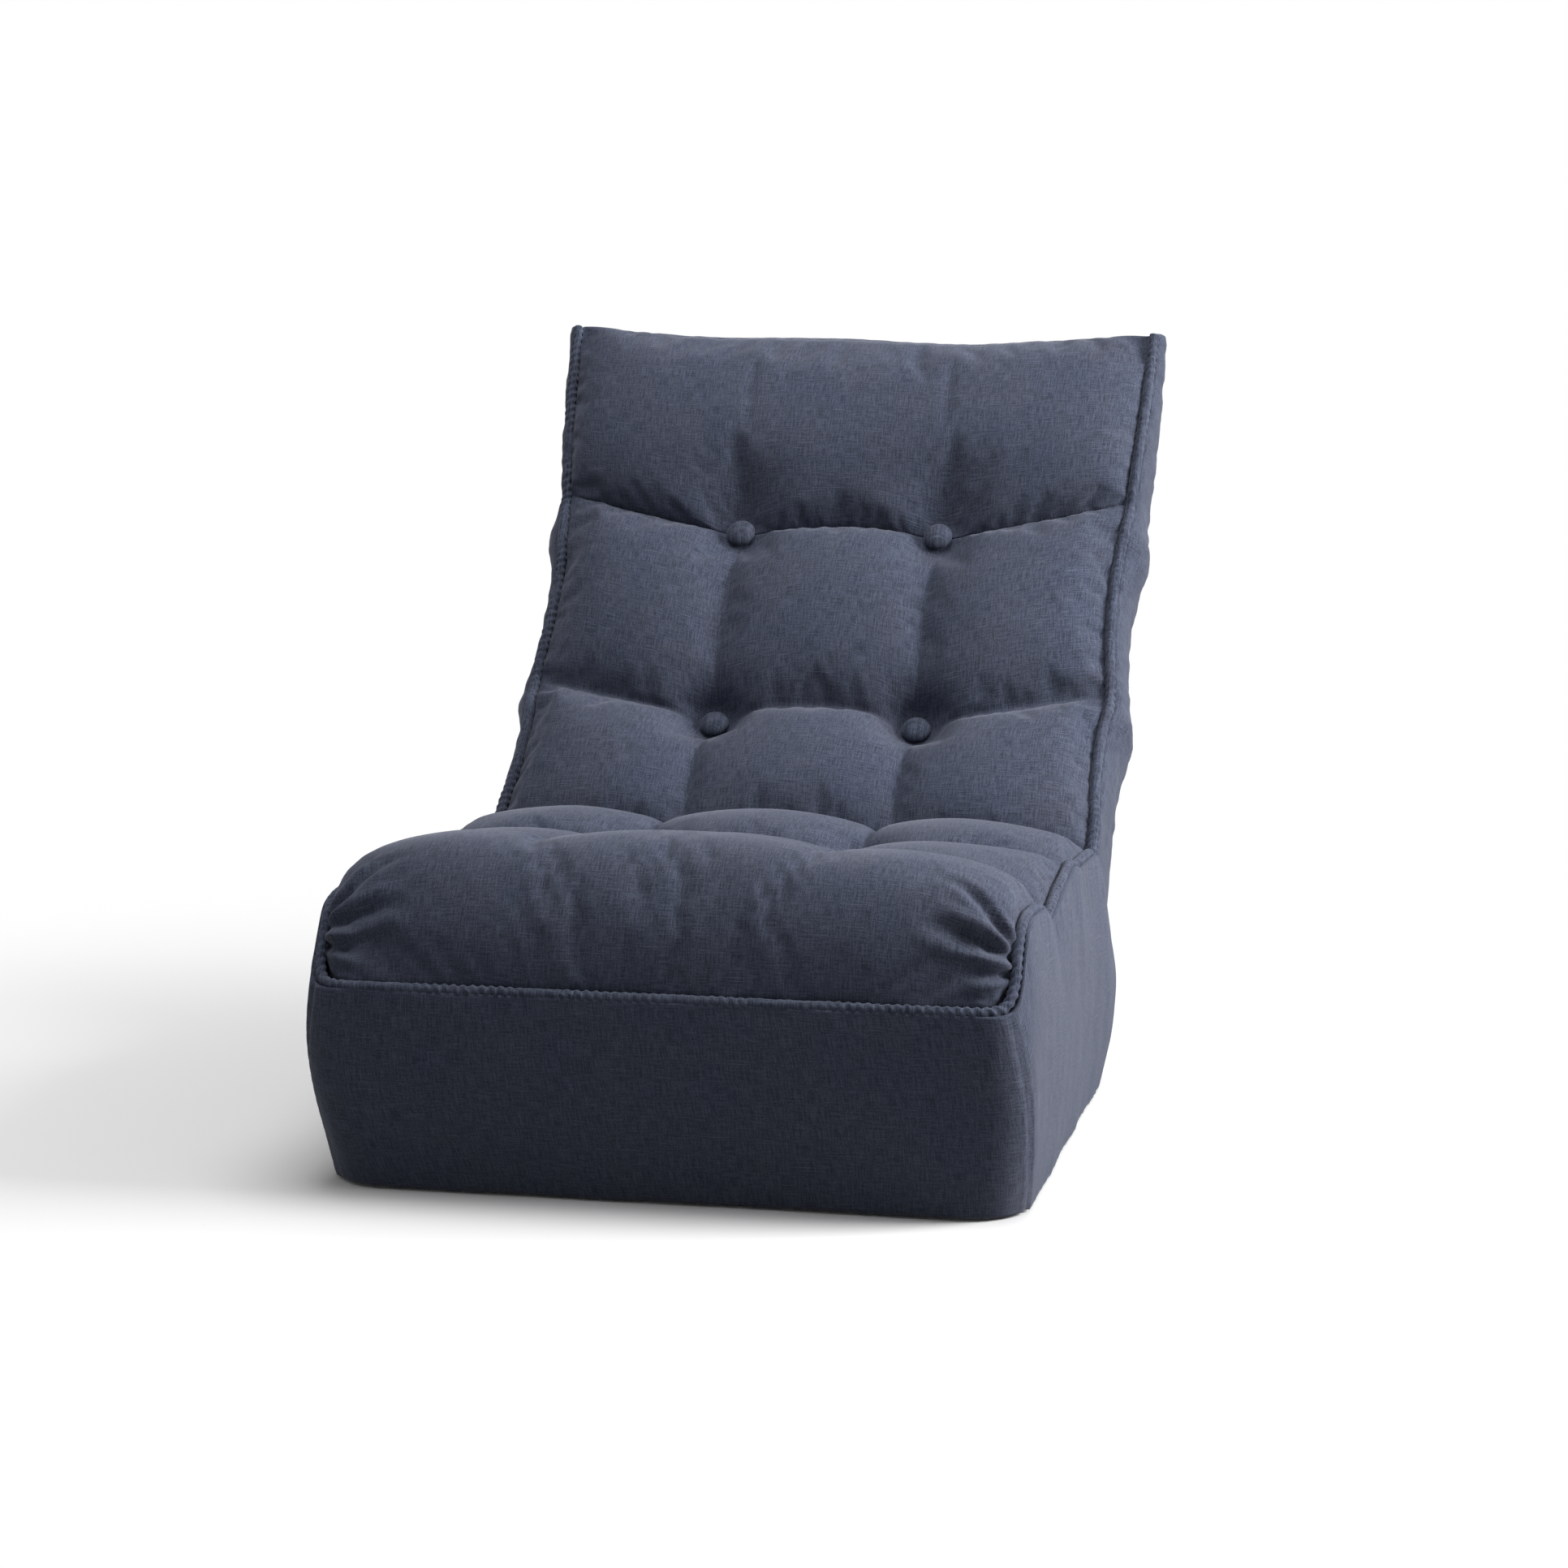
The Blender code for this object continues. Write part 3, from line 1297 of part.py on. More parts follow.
def make_hinge(hinge, side, label):
    x = side * hinge.x
    pin = pawl_pin(hinge)

    def name(piece):
        return f"{hinge.prefix}_{piece}_{label}"

    pivot_hole = (hinge.y, hinge.z, PIVOT_RADIUS + GAP)
    casing = plate(name("casing"), casing_outline(hinge), [pivot_hole],
                   x - CASING_HALF, x + CASING_HALF, zinc(name("casing")))
    slot = ARM_THICKNESS / 2 + SLOT_GAP
    slot_tool = x_cylinder(name("cut_slot"), hinge.y, hinge.z, CASING_SLOT_RADIUS,
                           x - slot, x + slot, sides=36)
    cut(casing, slot_tool)
    join(casing, x_cylinder(name("pawl_rivet"), pin[0], pin[1], PAWL_PIN_RADIUS,
                            x - slot - CHEEK_THICKNESS / 2, x + slot + CHEEK_THICKNESS / 2, sides=10))
    half = ARM_THICKNESS / 2
    plate(name("arm"), arm_outline(hinge), [pivot_hole], x - half, x + half, zinc(name("arm")))
    plate(name("pawl"), pawl_outline(hinge), [(pin[0], pin[1], PAWL_PIN_RADIUS + GAP)],
          x - half, x + half, zinc(name("pawl")))
    plate(name("pawl_spring"), spring_outline(hinge), [], x - half, x + half, zinc(name("pawl_spring")))
    make_pivot(name("pivot"), x, hinge)


def make_pivot(name, x, hinge):
    half = CASING_HALF + GAP
    top = half + PIVOT_HEAD_HEIGHT
    rim = PIVOT_HEAD_RADIUS * 0.8
    profile = [(0.0, top), (rim, top), (PIVOT_HEAD_RADIUS, half), (PIVOT_RADIUS, half),
               (PIVOT_RADIUS, -half), (PIVOT_HEAD_RADIUS, -half), (rim, -top), (0.0, -top)]
    pivot = lathe(name, profile, zinc(name), steps=12)
    pivot.rotation_euler = (0.0, math.radians(90), 0.0)
    pivot.location = (x, hinge.y, hinge.z)


RECLINE = Hinge("recline", HINGE_X, RECLINE_Y, RECLINE_Z, 180.0, BACK_LOWER_ANGLE,
                RECLINE_Z - SEAT_TUBE_Z, RECLINE_STRAP_NECK, RECLINE_STRAP_LENGTH, 85,
                RECLINE_ARM_LENGTH)
HEAD = Hinge("headrest", HEAD_HINGE_X, HEAD_Y, HEAD_Z, BACK_UPPER_ANGLE + 180, HEAD_ANGLE,
             -TUBE_DEPTH, HEAD_STRAP_NECK, HEAD_STRAP_LENGTH, 45, HEAD_ARM_LENGTH)


def hub_slots(hinge, radius, pad_radius, cushion, pad, line):
    """Room in a moving piece's round end for the hinge, and a groove for its arm."""
    reach = CASING_HALF + PIVOT_HEAD_HEIGHT + 2 * GAP + FOAM_GAP
    near = CASING_RADIUS + SLOT_MARGIN
    lean = math.tan(math.radians(STRAP_SWEEP_START))
    for side, label in ((-1, "right"), (1, "left")):
        x = side * hinge.x
        for target, facing, far in ((cushion, 1, radius), (pad, -1, pad_radius)):
            corners = [(-far, -SLOT_MARGIN), (near, -SLOT_MARGIN), (near, near),
                       (-near * lean, near), (-far * lean, far), (-far, far)]
            outline = [hinge.point(hinge.upper, s, facing * t) for s, t in corners]
            cut(target, plate(f"cut_{hinge.prefix}_{target.name}_{label}", outline, [],
                              x - reach, x + reach, None, CUTTERS))
        half = ARM_THICKNESS / 2 + FOAM_GAP
        groove(f"cut_{hinge.prefix}_arm_{label}", pad, line, x - half, x + half,
               pad_radius / 2, hinge.arm_length + FOAM_GAP)


def groove(name, pad, line, x_low, x_high, near, far):
    """A straight groove in a pad for a strap that lies beside the tube."""
    low = TUBE_DEPTH - STRAP_HALF_WIDTH - FOAM_GAP
    corners = [place(line, near, low), place(line, far, low),
               place(line, far, GROOVE_TOP), place(line, near, GROOVE_TOP)]
    cut(pad, plate(name, corners, [], x_low, x_high, None, CUTTERS))


def strap_grooves(base_foam, back_pad):
    """Grooves for the casings' straps, in the foam of the body that carries them."""
    half = CASING_HALF + FOAM_GAP
    for side, label in ((-1, "right"), (1, "left")):
        x = side * RECLINE.x
        low = SEAT_TUBE_Z - STRAP_HALF_WIDTH - FOAM_GAP
        cut(base_foam, box_cutter(f"cut_recline_strap_{label}",
                                  (x - half, RECLINE_Y - RECLINE_STRAP_LENGTH - FOAM_GAP, low),
                                  (x + half, RECLINE_Y, SPLIT_Z + GROOVE_TOP)))
        x = side * HEAD.x
        near = BACK_LENGTH - HEAD_STRAP_LENGTH - FOAM_GAP
        groove(f"cut_headrest_strap_{label}", back_pad, back_line, x - half, x + half, near, BACK_LENGTH)


def build():
    seat_cushion = make_seat_cushion()
    base_foam = make_base_foam()
    make_base_cover()
    make_bottom_cloth()
    make_seat_welt()
    back_cushion = make_back_cushion()
    back_pad = make_back_pad()
    make_back_cover()
    head_cushion = make_head_cushion()
    head_pad = make_head_pad()
    make_head_cover()
    for side, label in ((-1, "right"), (1, "left")):
        side_welt(f"back_welt_{label}", back_line, back_welt_path(), side)
        side_welt(f"headrest_welt_{label}", head_line, head_welt_path(), side)
    make_buttons(seat_cushion, back_cushion)
    make_frame(base_foam, back_pad, head_pad)
    hub_slots(RECLINE, RECLINE_TROUGH_RADIUS, RECLINE_TROUGH_RADIUS, back_cushion, back_pad, back_line)
    hub_slots(HEAD, seam_hub(BUTTON_X) + TROUGH_GAP, HEAD_HUB_RADIUS + TROUGH_GAP,
              head_cushion, head_pad, head_line)
    strap_grooves(base_foam, back_pad)
    for side, label in ((-1, "right"), (1, "left")):
        make_hinge(RECLINE, side, label)
        make_hinge(HEAD, side, label)


build()
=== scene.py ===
"""Looks of the padded floor chair: quilted cushions, piping, panels, weave, light and camera."""

from math import copysign, cos, exp, hypot, pi, radians, sin, sqrt

import bmesh
import bpy
import numpy as np
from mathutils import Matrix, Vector, noise


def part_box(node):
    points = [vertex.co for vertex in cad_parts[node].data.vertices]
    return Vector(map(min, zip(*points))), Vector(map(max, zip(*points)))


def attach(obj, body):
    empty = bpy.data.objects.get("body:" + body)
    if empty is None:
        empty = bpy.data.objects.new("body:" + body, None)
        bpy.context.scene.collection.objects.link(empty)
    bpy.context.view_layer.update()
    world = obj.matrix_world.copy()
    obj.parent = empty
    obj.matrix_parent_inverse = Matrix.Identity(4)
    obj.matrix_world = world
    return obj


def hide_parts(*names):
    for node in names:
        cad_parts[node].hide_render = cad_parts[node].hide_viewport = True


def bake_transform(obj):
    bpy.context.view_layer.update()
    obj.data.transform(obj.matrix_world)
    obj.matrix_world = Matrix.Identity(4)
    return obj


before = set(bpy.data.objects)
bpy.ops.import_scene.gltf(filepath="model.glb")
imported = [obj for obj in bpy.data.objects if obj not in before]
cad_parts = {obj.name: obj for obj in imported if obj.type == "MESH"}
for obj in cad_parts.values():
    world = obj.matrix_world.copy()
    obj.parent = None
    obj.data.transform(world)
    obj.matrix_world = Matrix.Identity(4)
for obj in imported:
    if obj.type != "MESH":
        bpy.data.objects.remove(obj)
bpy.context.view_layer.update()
SCENE = bpy.context.scene

# Sizes that follow the CAD part, in metres
BUTTON_X = 0.106
HALF = 0.3035
WELT_X = 0.3085
WELT_RADIUS = 0.0047
PANEL_HALF = 0.3125
BASE_FRONT_Y = -0.31
BASE_REAR_Y = 0.345
FRONT_LEAN = 0.04
REAR_LEAN = 0.045
SIDE_BULGE = 0.014
FRONT_BULGE = 0.004
CORNER = 0.03
FOOT_CORNER = 0.055
FRONT_WELT_Z = 0.191
REAR_LIP_Z = 0.118
FLOOR_GAP = 0.003
SEAT_FRONT_Y = -0.304
SEAT_SEAM_1 = -0.1
SEAT_SEAM_2 = 0.06
SEAT_SEAMS = (SEAT_SEAM_1, SEAT_SEAM_2)
SEAT_REAR = 0.219
ROLL_Z = 0.314
SEAM_Z = 0.252
RECLINE = (0.295, 0.192)
HUB = 0.068
LOWER_ANGLE = radians(46.0)
UPPER_ANGLE = radians(53.0)
HEAD_ANGLE = radians(65.5)
LOWER_LENGTH = 0.203
BEND_LENGTH = 0.08
BACK_LENGTH = 0.451
HEAD_LENGTH = 0.192
WHOLE_LENGTH = BACK_LENGTH + HEAD_LENGTH
HEAD_HUB = 0.054
BACK_REAR_DEPTH = 0.066
PANEL_WALL = 0.003
LOWER_BUTTON = (0.162, 0.03)
UPPER_BUTTON = (0.393, 0.045)

# Mesh spacing, how far the cloth may swell, and the cloth itself
STEP = 0.0046
SWELL = 0.009
CLOTH_FRAMES = 18
COLUMN_HOLD = 0.85
COLUMN_ROUND = 0.6
BUTTON_HOLD = 0.019
CLOTH_SETTINGS = {
    "quality": 5, "mass": 0.25, "tension_stiffness": 12, "compression_stiffness": 12,
    "shear_stiffness": 4, "bending_stiffness": 1.0, "tension_damping": 5, "compression_damping": 5,
    "air_damping": 3, "use_pressure": True, "uniform_pressure_force": 3.0,
    "shrink_min": -0.025, "vertex_group_mass": "held"}

# Forms of the seat's rows: the roll with its dips (place, width and depth), then the puffs
CORNER_REACH = 0.07
ROLL_CREST = 0.45
FRONT_ROUND = 2.2
REAR_ROUND = 2.6
ROLL_DIPS = ((-0.125, 0.045, 0.006), (0.135, 0.05, 0.009), (0.23, 0.07, 0.004))
CHANNEL_START = 0.72
CHANNEL_DEPTH = 0.16
PUFF_CROWN = 0.031
PUFF_ROUND = 0.55
PUFF_CHANNEL = 0.55
SEAT_REAR_Z = 0.232
SIDE_ROUND = 4.5
SEAT_FLAP = 0.019
SEAT_TUCK = 0.014
TUCK_IN = 0.003

# Forms of the back's rows and of the headrest; depths are taken over the back's line
BACK_BASE = 0.05
BACK_CROWN = 0.034
BACK_ROUND = 0.5
BACK_CHANNEL = 0.5
UPPER_ROW = 0.236
FLANGE_ROWS = (0.0, 0.0022, 0.0044, 0.0062, 0.0075, 0.0088, 0.0105, 0.013)
LUMBAR_SAG = 0.041
LUMBAR_ARCH = 0.3
TOP_SEAM = BACK_LENGTH - 0.012
TOP_SAG = 0.046
TOP_ARCH = 0.22
SAG_POWER = 1.3
FLANGE_DROP = 0.0075
FLANGE_WIDTH = 0.0012
FLANGE_DEPTH = 0.0012
BUTTON_SINK = 0.0008
PINCH_RADIUS = 0.031
MEAN_SEAM = BACK_LENGTH - 0.03
HEAD_TOP = 0.026
HEAD_CROWN = 0.036
HEAD_ROUND = 5.0
VALLEY_DEPTH = 0.013
VALLEY_WIDTH = 0.03
VALLEY_REACH = 0.05
EDGE_TUCK = 0.013
WELT_LOW = 0.053
WELT_HIGH = 0.03
WELT_DIP = 0.005
DIP_WIDTH = 0.02
TOP_FADE = 0.09

# Piping and panels
BACK_WELT_RADIUS = 0.0052
CORD_STEP = 0.0013
CORD_SIDES = 14
TWIST_PITCH = 0.0085
SLOPE_START = 0.216
HUB_EASE = 0.07
TOP_DROP = 0.0045
TOP_CLOSE = 0.011

# Centre lines

def back_line(distance):
    """The back's line at a distance from the recline axis: y, z and its angle."""
    turn = UPPER_ANGLE - LOWER_ANGLE
    bend_start = LOWER_LENGTH - BEND_LENGTH / 2
    along = min(distance, bend_start)
    y = RECLINE[0] + along * cos(LOWER_ANGLE)
    z = RECLINE[1] + along * sin(LOWER_ANGLE)
    angle = LOWER_ANGLE
    if distance > bend_start:
        radius = BEND_LENGTH / turn
        angle = LOWER_ANGLE + min(distance - bend_start, BEND_LENGTH) / radius
        y += radius * (sin(angle) - sin(LOWER_ANGLE))
        z += radius * (cos(LOWER_ANGLE) - cos(angle))
    past = distance - bend_start - BEND_LENGTH
    if past > 0:
        y += past * cos(angle)
        z += past * sin(angle)
    return y, z, angle

HEAD_Y, HEAD_Z = back_line(BACK_LENGTH)[:2]

def head_line(distance):
    return HEAD_Y + distance * cos(HEAD_ANGLE), HEAD_Z + distance * sin(HEAD_ANGLE), HEAD_ANGLE

def whole_line(distance):
    """The back and the headrest as one line, bent softly at the headrest's axis."""
    ease = 0.05
    if distance < BACK_LENGTH - ease:
        return back_line(distance)
    if distance > BACK_LENGTH + ease:
        return head_line(distance - BACK_LENGTH)
    part = (distance - BACK_LENGTH + ease) / (2 * ease)
    y0, z0, a0 = back_line(distance)
    y1, z1, a1 = head_line(distance - BACK_LENGTH)
    mix = part * part * (3 - 2 * part)
    return y0 + (y1 - y0) * mix, z0 + (z1 - z0) * mix, a0 + (a1 - a0) * mix

def place(line, distance, depth):
    """The y and z of a point at a depth over a line."""
    y, z, angle = line(distance)
    return y - depth * sin(angle), z + depth * cos(angle)

LINE_STEPS = np.linspace(-0.07, WHOLE_LENGTH + 0.01, 240)
LINE_TABLE = np.array([whole_line(distance) for distance in LINE_STEPS])

def along_back(co):
    """Distance along the whole back of each point."""
    y = co[:, 1][:, None] - LINE_TABLE[:, 0][None, :]
    z = co[:, 2][:, None] - LINE_TABLE[:, 1][None, :]
    ahead = y * np.cos(LINE_TABLE[:, 2]) + z * np.sin(LINE_TABLE[:, 2])
    return LINE_STEPS[np.argmin(np.abs(ahead), axis=1)]

def smooth_curve(pairs):
    """A smooth curve through (place, value) pairs, level beyond its ends."""
    places, values = np.array(pairs, float).T
    slopes = np.gradient(values, places)

    def value(at):
        at = min(max(at, places[0]), places[-1])
        i = min(int(np.searchsorted(places, at, side="right")) - 1, len(places) - 2)
        width = places[i + 1] - places[i]
        t = (at - places[i]) / width
        rise = (2 * t ** 3 - 3 * t ** 2 + 1) * values[i] + (3 * t ** 2 - 2 * t ** 3) * values[i + 1]
        bend = (t ** 3 - 2 * t ** 2 + t) * slopes[i] + (t ** 3 - t ** 2) * slopes[i + 1]
        return rise + bend * width

    return value

# The seat's side piping climbs the roll, dips at the first valley and runs on to the back
seat_welt_height = smooth_curve([
    (-0.3145, 0.191), (-0.3, 0.194), (-0.285, 0.2095), (-0.27, 0.232), (-0.258, 0.2485),
    (-0.243, 0.2565), (-0.225, 0.259), (-0.19, 0.2575), (-0.15, 0.2535), (-0.122, 0.244),
    (-0.105, 0.236), (-0.09, 0.235), (-0.07, 0.24), (-0.035, 0.2465), (0.0000, 0.251),
    (0.03, 0.255), (0.05, 0.2575), (0.065, 0.2545), (0.085, 0.25), (0.12, 0.2475),
    (0.16, 0.2455), (0.2, 0.242), (0.22, 0.238)])

# How far the back's side piping stands in from its straight line, row by row
welt_inset = smooth_curve([
    (-0.06, 0.004), (0.000, 0.004), (0.04, 0.005), (0.075, 0.008), (0.11, 0.0095), (0.15, 0.0085),
    (0.19, 0.0055), (0.22, 0.0065), (0.26, 0.01), (0.31, 0.0122), (0.35, 0.0112), (0.39, 0.0078),
    (0.43, 0.0042), (0.47, 0.002), (0.52, -0.002), (0.58, -0.0055), (0.643, -0.0085)])

# How far the gusset swells outside the piping; it has ears just under the row seams
gusset_swell = smooth_curve([
    (0.000, 0.0005), (0.04, 0.002), (0.08, 0.007), (0.14, 0.0085), (0.165, 0.0115), (0.185, 0.016),
    (0.205, 0.0115), (0.23, 0.0085), (0.3, 0.0085), (0.35, 0.0105), (0.378, 0.015), (0.398, 0.017),
    (0.418, 0.011), (0.44, 0.0065), (0.52, 0.006), (0.6, 0.006), (0.643, 0.005)])

def top_wave(x):
    """How the top edge rises and dips across the width."""
    left = 0.005 * exp(-((x + 0.29) / 0.08) ** 2)
    return 0.004 + left - 0.0065 * exp(-((x - 0.105) / 0.08) ** 2)

# Meshes

def run_length(path):
    """Length along a path up to each of its points."""
    return np.concatenate([[0.0], np.cumsum(np.linalg.norm(np.diff(path, axis=0), axis=1))])

def spaced(path, count):
    """Even lengths along a path, and its points there."""
    lengths = run_length(path)
    even = np.linspace(0, lengths[-1], count)
    return even, np.stack([np.interp(even, lengths, path[:, k]) for k in range(3)], axis=1)

def add_object(name, data):
    obj = bpy.data.objects.new(name, data)
    SCENE.collection.objects.link(obj)
    return obj

def grid(name, rows, wrap=False):
    """A quad grid through rows of points, with a UV map in metres along its two ways."""
    points = np.array(rows, float)
    count = points.shape[1]
    faces = []
    corners = []
    last = count if wrap else count - 1
    for j in range(len(rows) - 1):
        for i in range(last):
            k = (i + 1) % count
            faces.append((j * count + i, j * count + k, (j + 1) * count + k, (j + 1) * count + i))
            corners += [(j, i), (j, i + 1), (j + 1, i + 1), (j + 1, i)]
    mesh = bpy.data.meshes.new(name)
    mesh.from_pydata(points.reshape(-1, 3).tolist(), [], faces)
    middle = points[len(rows) // 2]
    across = run_length(np.vstack([middle, middle[:1]]))
    along = run_length(points[:, count // 2])
    layer = mesh.uv_layers.new(name="metres")
    for loop, (j, i) in zip(layer.data, corners):
        loop.uv = (across[i], along[j])
    for polygon in mesh.polygons:
        polygon.use_smooth = True
    return add_object(name, mesh)

def close_back(obj, inner):
    """Closes an open grid by a fan from its rim to a point behind it; returns the rim and the point."""
    work = bmesh.new()
    work.from_mesh(obj.data)
    rim = [edge for edge in work.edges if edge.is_boundary]
    centre = work.verts.new(inner)
    for edge in rim:
        loop = edge.link_loops[0]
        face = work.faces.new((loop.link_loop_next.vert, loop.vert, centre))
        face.smooth = True
    work.verts.index_update()
    held = sorted({v.index for edge in rim for v in edge.verts} | {centre.index})
    work.to_mesh(obj.data)
    work.free()
    return held

def read(mesh, what):
    """The points or normals of a mesh."""
    values = np.empty(len(mesh.vertices) * 3)
    mesh.vertices.foreach_get(what, values)
    return values.reshape(-1, 3)

def coordinates(obj):
    return read(obj.data, "co")

def set_coordinates(obj, co):
    obj.data.vertices.foreach_set("co", co.reshape(-1))
    obj.data.update()

def push(obj, amounts):
    """Moves each point out along its normal."""
    set_coordinates(obj, coordinates(obj) + read(obj.data, "normal") * amounts[:, None])

def inflate(obj, held):
    """Swells a closed quilted form by cloth simulation, its seams held, and caps each point's travel."""
    group = obj.vertex_groups.new(name="held")
    for weight in sorted(set(np.round(held[held > 0], 2))):
        members = [int(i) for i in np.nonzero(np.abs(held - weight) < 0.006)[0]]
        group.add(members, float(weight), "REPLACE")
    start = coordinates(obj)
    cloth = obj.modifiers.new("cloth", "CLOTH")
    for key, value in CLOTH_SETTINGS.items():
        setattr(cloth.settings, key, value)
    cloth.settings.effector_weights.gravity = 0
    cloth.collision_settings.use_collision = False
    cloth.collision_settings.use_self_collision = False
    cloth.point_cache.frame_start = 1
    cloth.point_cache.frame_end = CLOTH_FRAMES + 1
    for step in range(1, CLOTH_FRAMES + 1):
        SCENE.frame_set(step)
    evaluated = obj.evaluated_get(bpy.context.evaluated_depsgraph_get())
    move = read(evaluated.data, "co") - start
    obj.modifiers.remove(cloth)
    SCENE.frame_set(1)
    length = np.linalg.norm(move, axis=1)
    soft_cap = SWELL * np.tanh(length / SWELL)
    set_coordinates(obj, start + move * (soft_cap / np.maximum(length, 1e-9))[:, None])
    obj.vertex_groups.clear()

def subdivide(obj, inner):
    """Smooths the quilted face once, opened at its back first and closed again after."""
    work = bmesh.new()
    work.from_mesh(obj.data)
    work.verts.ensure_lookup_table()
    work.verts.remove(work.verts[len(work.verts) - 1])
    work.to_mesh(obj.data)
    work.free()
    modifier = obj.modifiers.new("smooth", "SUBSURF")
    modifier.levels = 1
    modifier.render_levels = 1
    mesh = bpy.data.meshes.new_from_object(obj.evaluated_get(bpy.context.evaluated_depsgraph_get()))
    obj.modifiers.clear()
    obj.data = mesh
    close_back(obj, inner)

def swell_quilt(obj, held, inside):
    """Closes an open quilt behind, swells it with its held points fixed, and smooths it."""
    inner = close_back(obj, inside)
    held = np.append(held, np.zeros(len(obj.data.vertices) - len(held)))
    held[inner] = 1.0
    inflate(obj, held)
    subdivide(obj, inside)

def close_ends(obj, merge=0.0):
    """Closes a tube's open ends and turns its faces outward; points nearer than merge become one."""
    work = bmesh.new()
    work.from_mesh(obj.data)
    if merge:
        bmesh.ops.remove_doubles(work, verts=work.verts[:], dist=merge)
    bmesh.ops.holes_fill(work, edges=[e for e in work.edges if e.is_boundary])
    bmesh.ops.recalc_face_normals(work, faces=work.faces[:])
    work.to_mesh(obj.data)
    work.free()

def thicken(obj, offset):
    """Gives a panel its wall, inward for an offset of -1 and outward for 1."""
    wall = obj.modifiers.new("wall", "SOLIDIFY")
    wall.thickness = PANEL_WALL
    wall.offset = offset

def wobble(points, size, seed):
    """Smooth noise round zero at each point; size may differ along x, y and z."""
    shift = Vector((seed * 7.3, seed * 3.1, seed * 5.7))
    scaled = points / np.array(size)
    return np.array([noise.fractal(Vector(p) + shift, 1.0, 2.0, 2) for p in scaled])

# Materials

def node(tree, kind, inputs=None, **settings):
    made = tree.nodes.new("ShaderNode" + kind)
    for key, value in settings.items():
        setattr(made, key, value)
    for key, value in (inputs or {}).items():
        made.inputs[key].default_value = value
    return made

def connect(tree, value, socket):
    """Sets a number or a colour, or links a socket."""
    if isinstance(value, float):
        socket.default_value = value
    elif isinstance(value, tuple):
        socket.default_value = (*value, 1.0)
    else:
        tree.links.new(value, socket)

def math_node(tree, operation, first, second):
    made = node(tree, "Math", operation=operation)
    connect(tree, first, made.inputs[0])
    connect(tree, second, made.inputs[1])
    return made.outputs[0]

def streaks(tree, source, across, along, detail=2.0):
    """Noise drawn out into threads: cells per metre across and along them."""
    mapping = node(tree, "Mapping", {"Scale": (across, along, 1.0)})
    tree.links.new(source, mapping.inputs["Vector"])
    made = node(tree, "TexNoise", {"Scale": 1.0, "Detail": detail, "Roughness": 0.55})
    tree.links.new(mapping.outputs[0], made.inputs["Vector"])
    return made.outputs["Fac"]

def mix_colour(tree, amount, first, second):
    made = node(tree, "Mix", data_type="RGBA")
    for index, value in ((0, amount), (6, first), (7, second)):
        connect(tree, value, made.inputs[index])
    return made.outputs[2]

def ramp(tree, source, low, high):
    made = node(tree, "MapRange", {"From Min": low, "From Max": high})
    tree.links.new(source, made.inputs["Value"])
    return made.outputs["Result"]

def mix_shaders(tree, amount, first, second, output):
    """Ends a tree in a mix of two shaders."""
    made = node(tree, "MixShader")
    for socket, value in zip(made.inputs, (amount, first.outputs[0], second.outputs[0])):
        tree.links.new(value, socket)
    tree.links.new(made.outputs[0], tree.nodes[output].inputs["Surface"])

def new_material(name):
    """A material, its node tree and its main shader."""
    material = bpy.data.materials.new(name)
    material.use_nodes = True
    return material, material.node_tree, material.node_tree.nodes["Principled BSDF"]

def linen(name, source_kind="UV", strength=0.3):
    """Heathered slub linen: fine warp and weft, a few pale threads, soft clouds of tone."""
    material, tree, shader = new_material(name)
    source = node(tree, "TexCoord").outputs[source_kind]
    warp = streaks(tree, source, 900.0, 65.0)
    weft = streaks(tree, source, 60.0, 950.0)
    melange = streaks(tree, source, 640.0, 640.0, 1.0)
    cloud = streaks(tree, source, 14.0, 14.0, 3.0)
    weave = math_node(tree, "MULTIPLY", warp, 0.4)
    weave = math_node(tree, "ADD", weave, math_node(tree, "MULTIPLY", weft, 0.32))
    weave = math_node(tree, "ADD", weave, math_node(tree, "MULTIPLY", melange, 0.28))
    tone = ramp(tree, weave, 0.42, 0.58)
    colour = mix_colour(tree, tone, DEEP, PALE)
    hue = ramp(tree, cloud, 0.3, 0.7)
    shade = mix_colour(tree, hue, COOL, WARM)
    tinted = mix_colour(tree, 0.35, colour, shade)
    pale_weft = ramp(tree, streaks(tree, source, 26.0, 1400.0, 1.0), 0.66, 0.76)
    pale_warp = ramp(tree, streaks(tree, source, 1500.0, 34.0, 1.0), 0.68, 0.78)
    slubs = math_node(tree, "MULTIPLY", math_node(tree, "MAXIMUM", pale_weft, pale_warp), 0.6)
    final = mix_colour(tree, slubs, tinted, SLUB)
    tree.links.new(final, shader.inputs["Base Color"])
    for key, value in LINEN_SHEEN.items():
        shader.inputs[key].default_value = value
    height = math_node(tree, "ADD", weave, math_node(tree, "MULTIPLY", slubs, 0.6))
    bump = node(tree, "Bump", {"Strength": strength, "Distance": 0.0005})
    tree.links.new(height, bump.inputs["Height"])
    tree.links.new(bump.outputs[0], shader.inputs["Normal"])
    return material

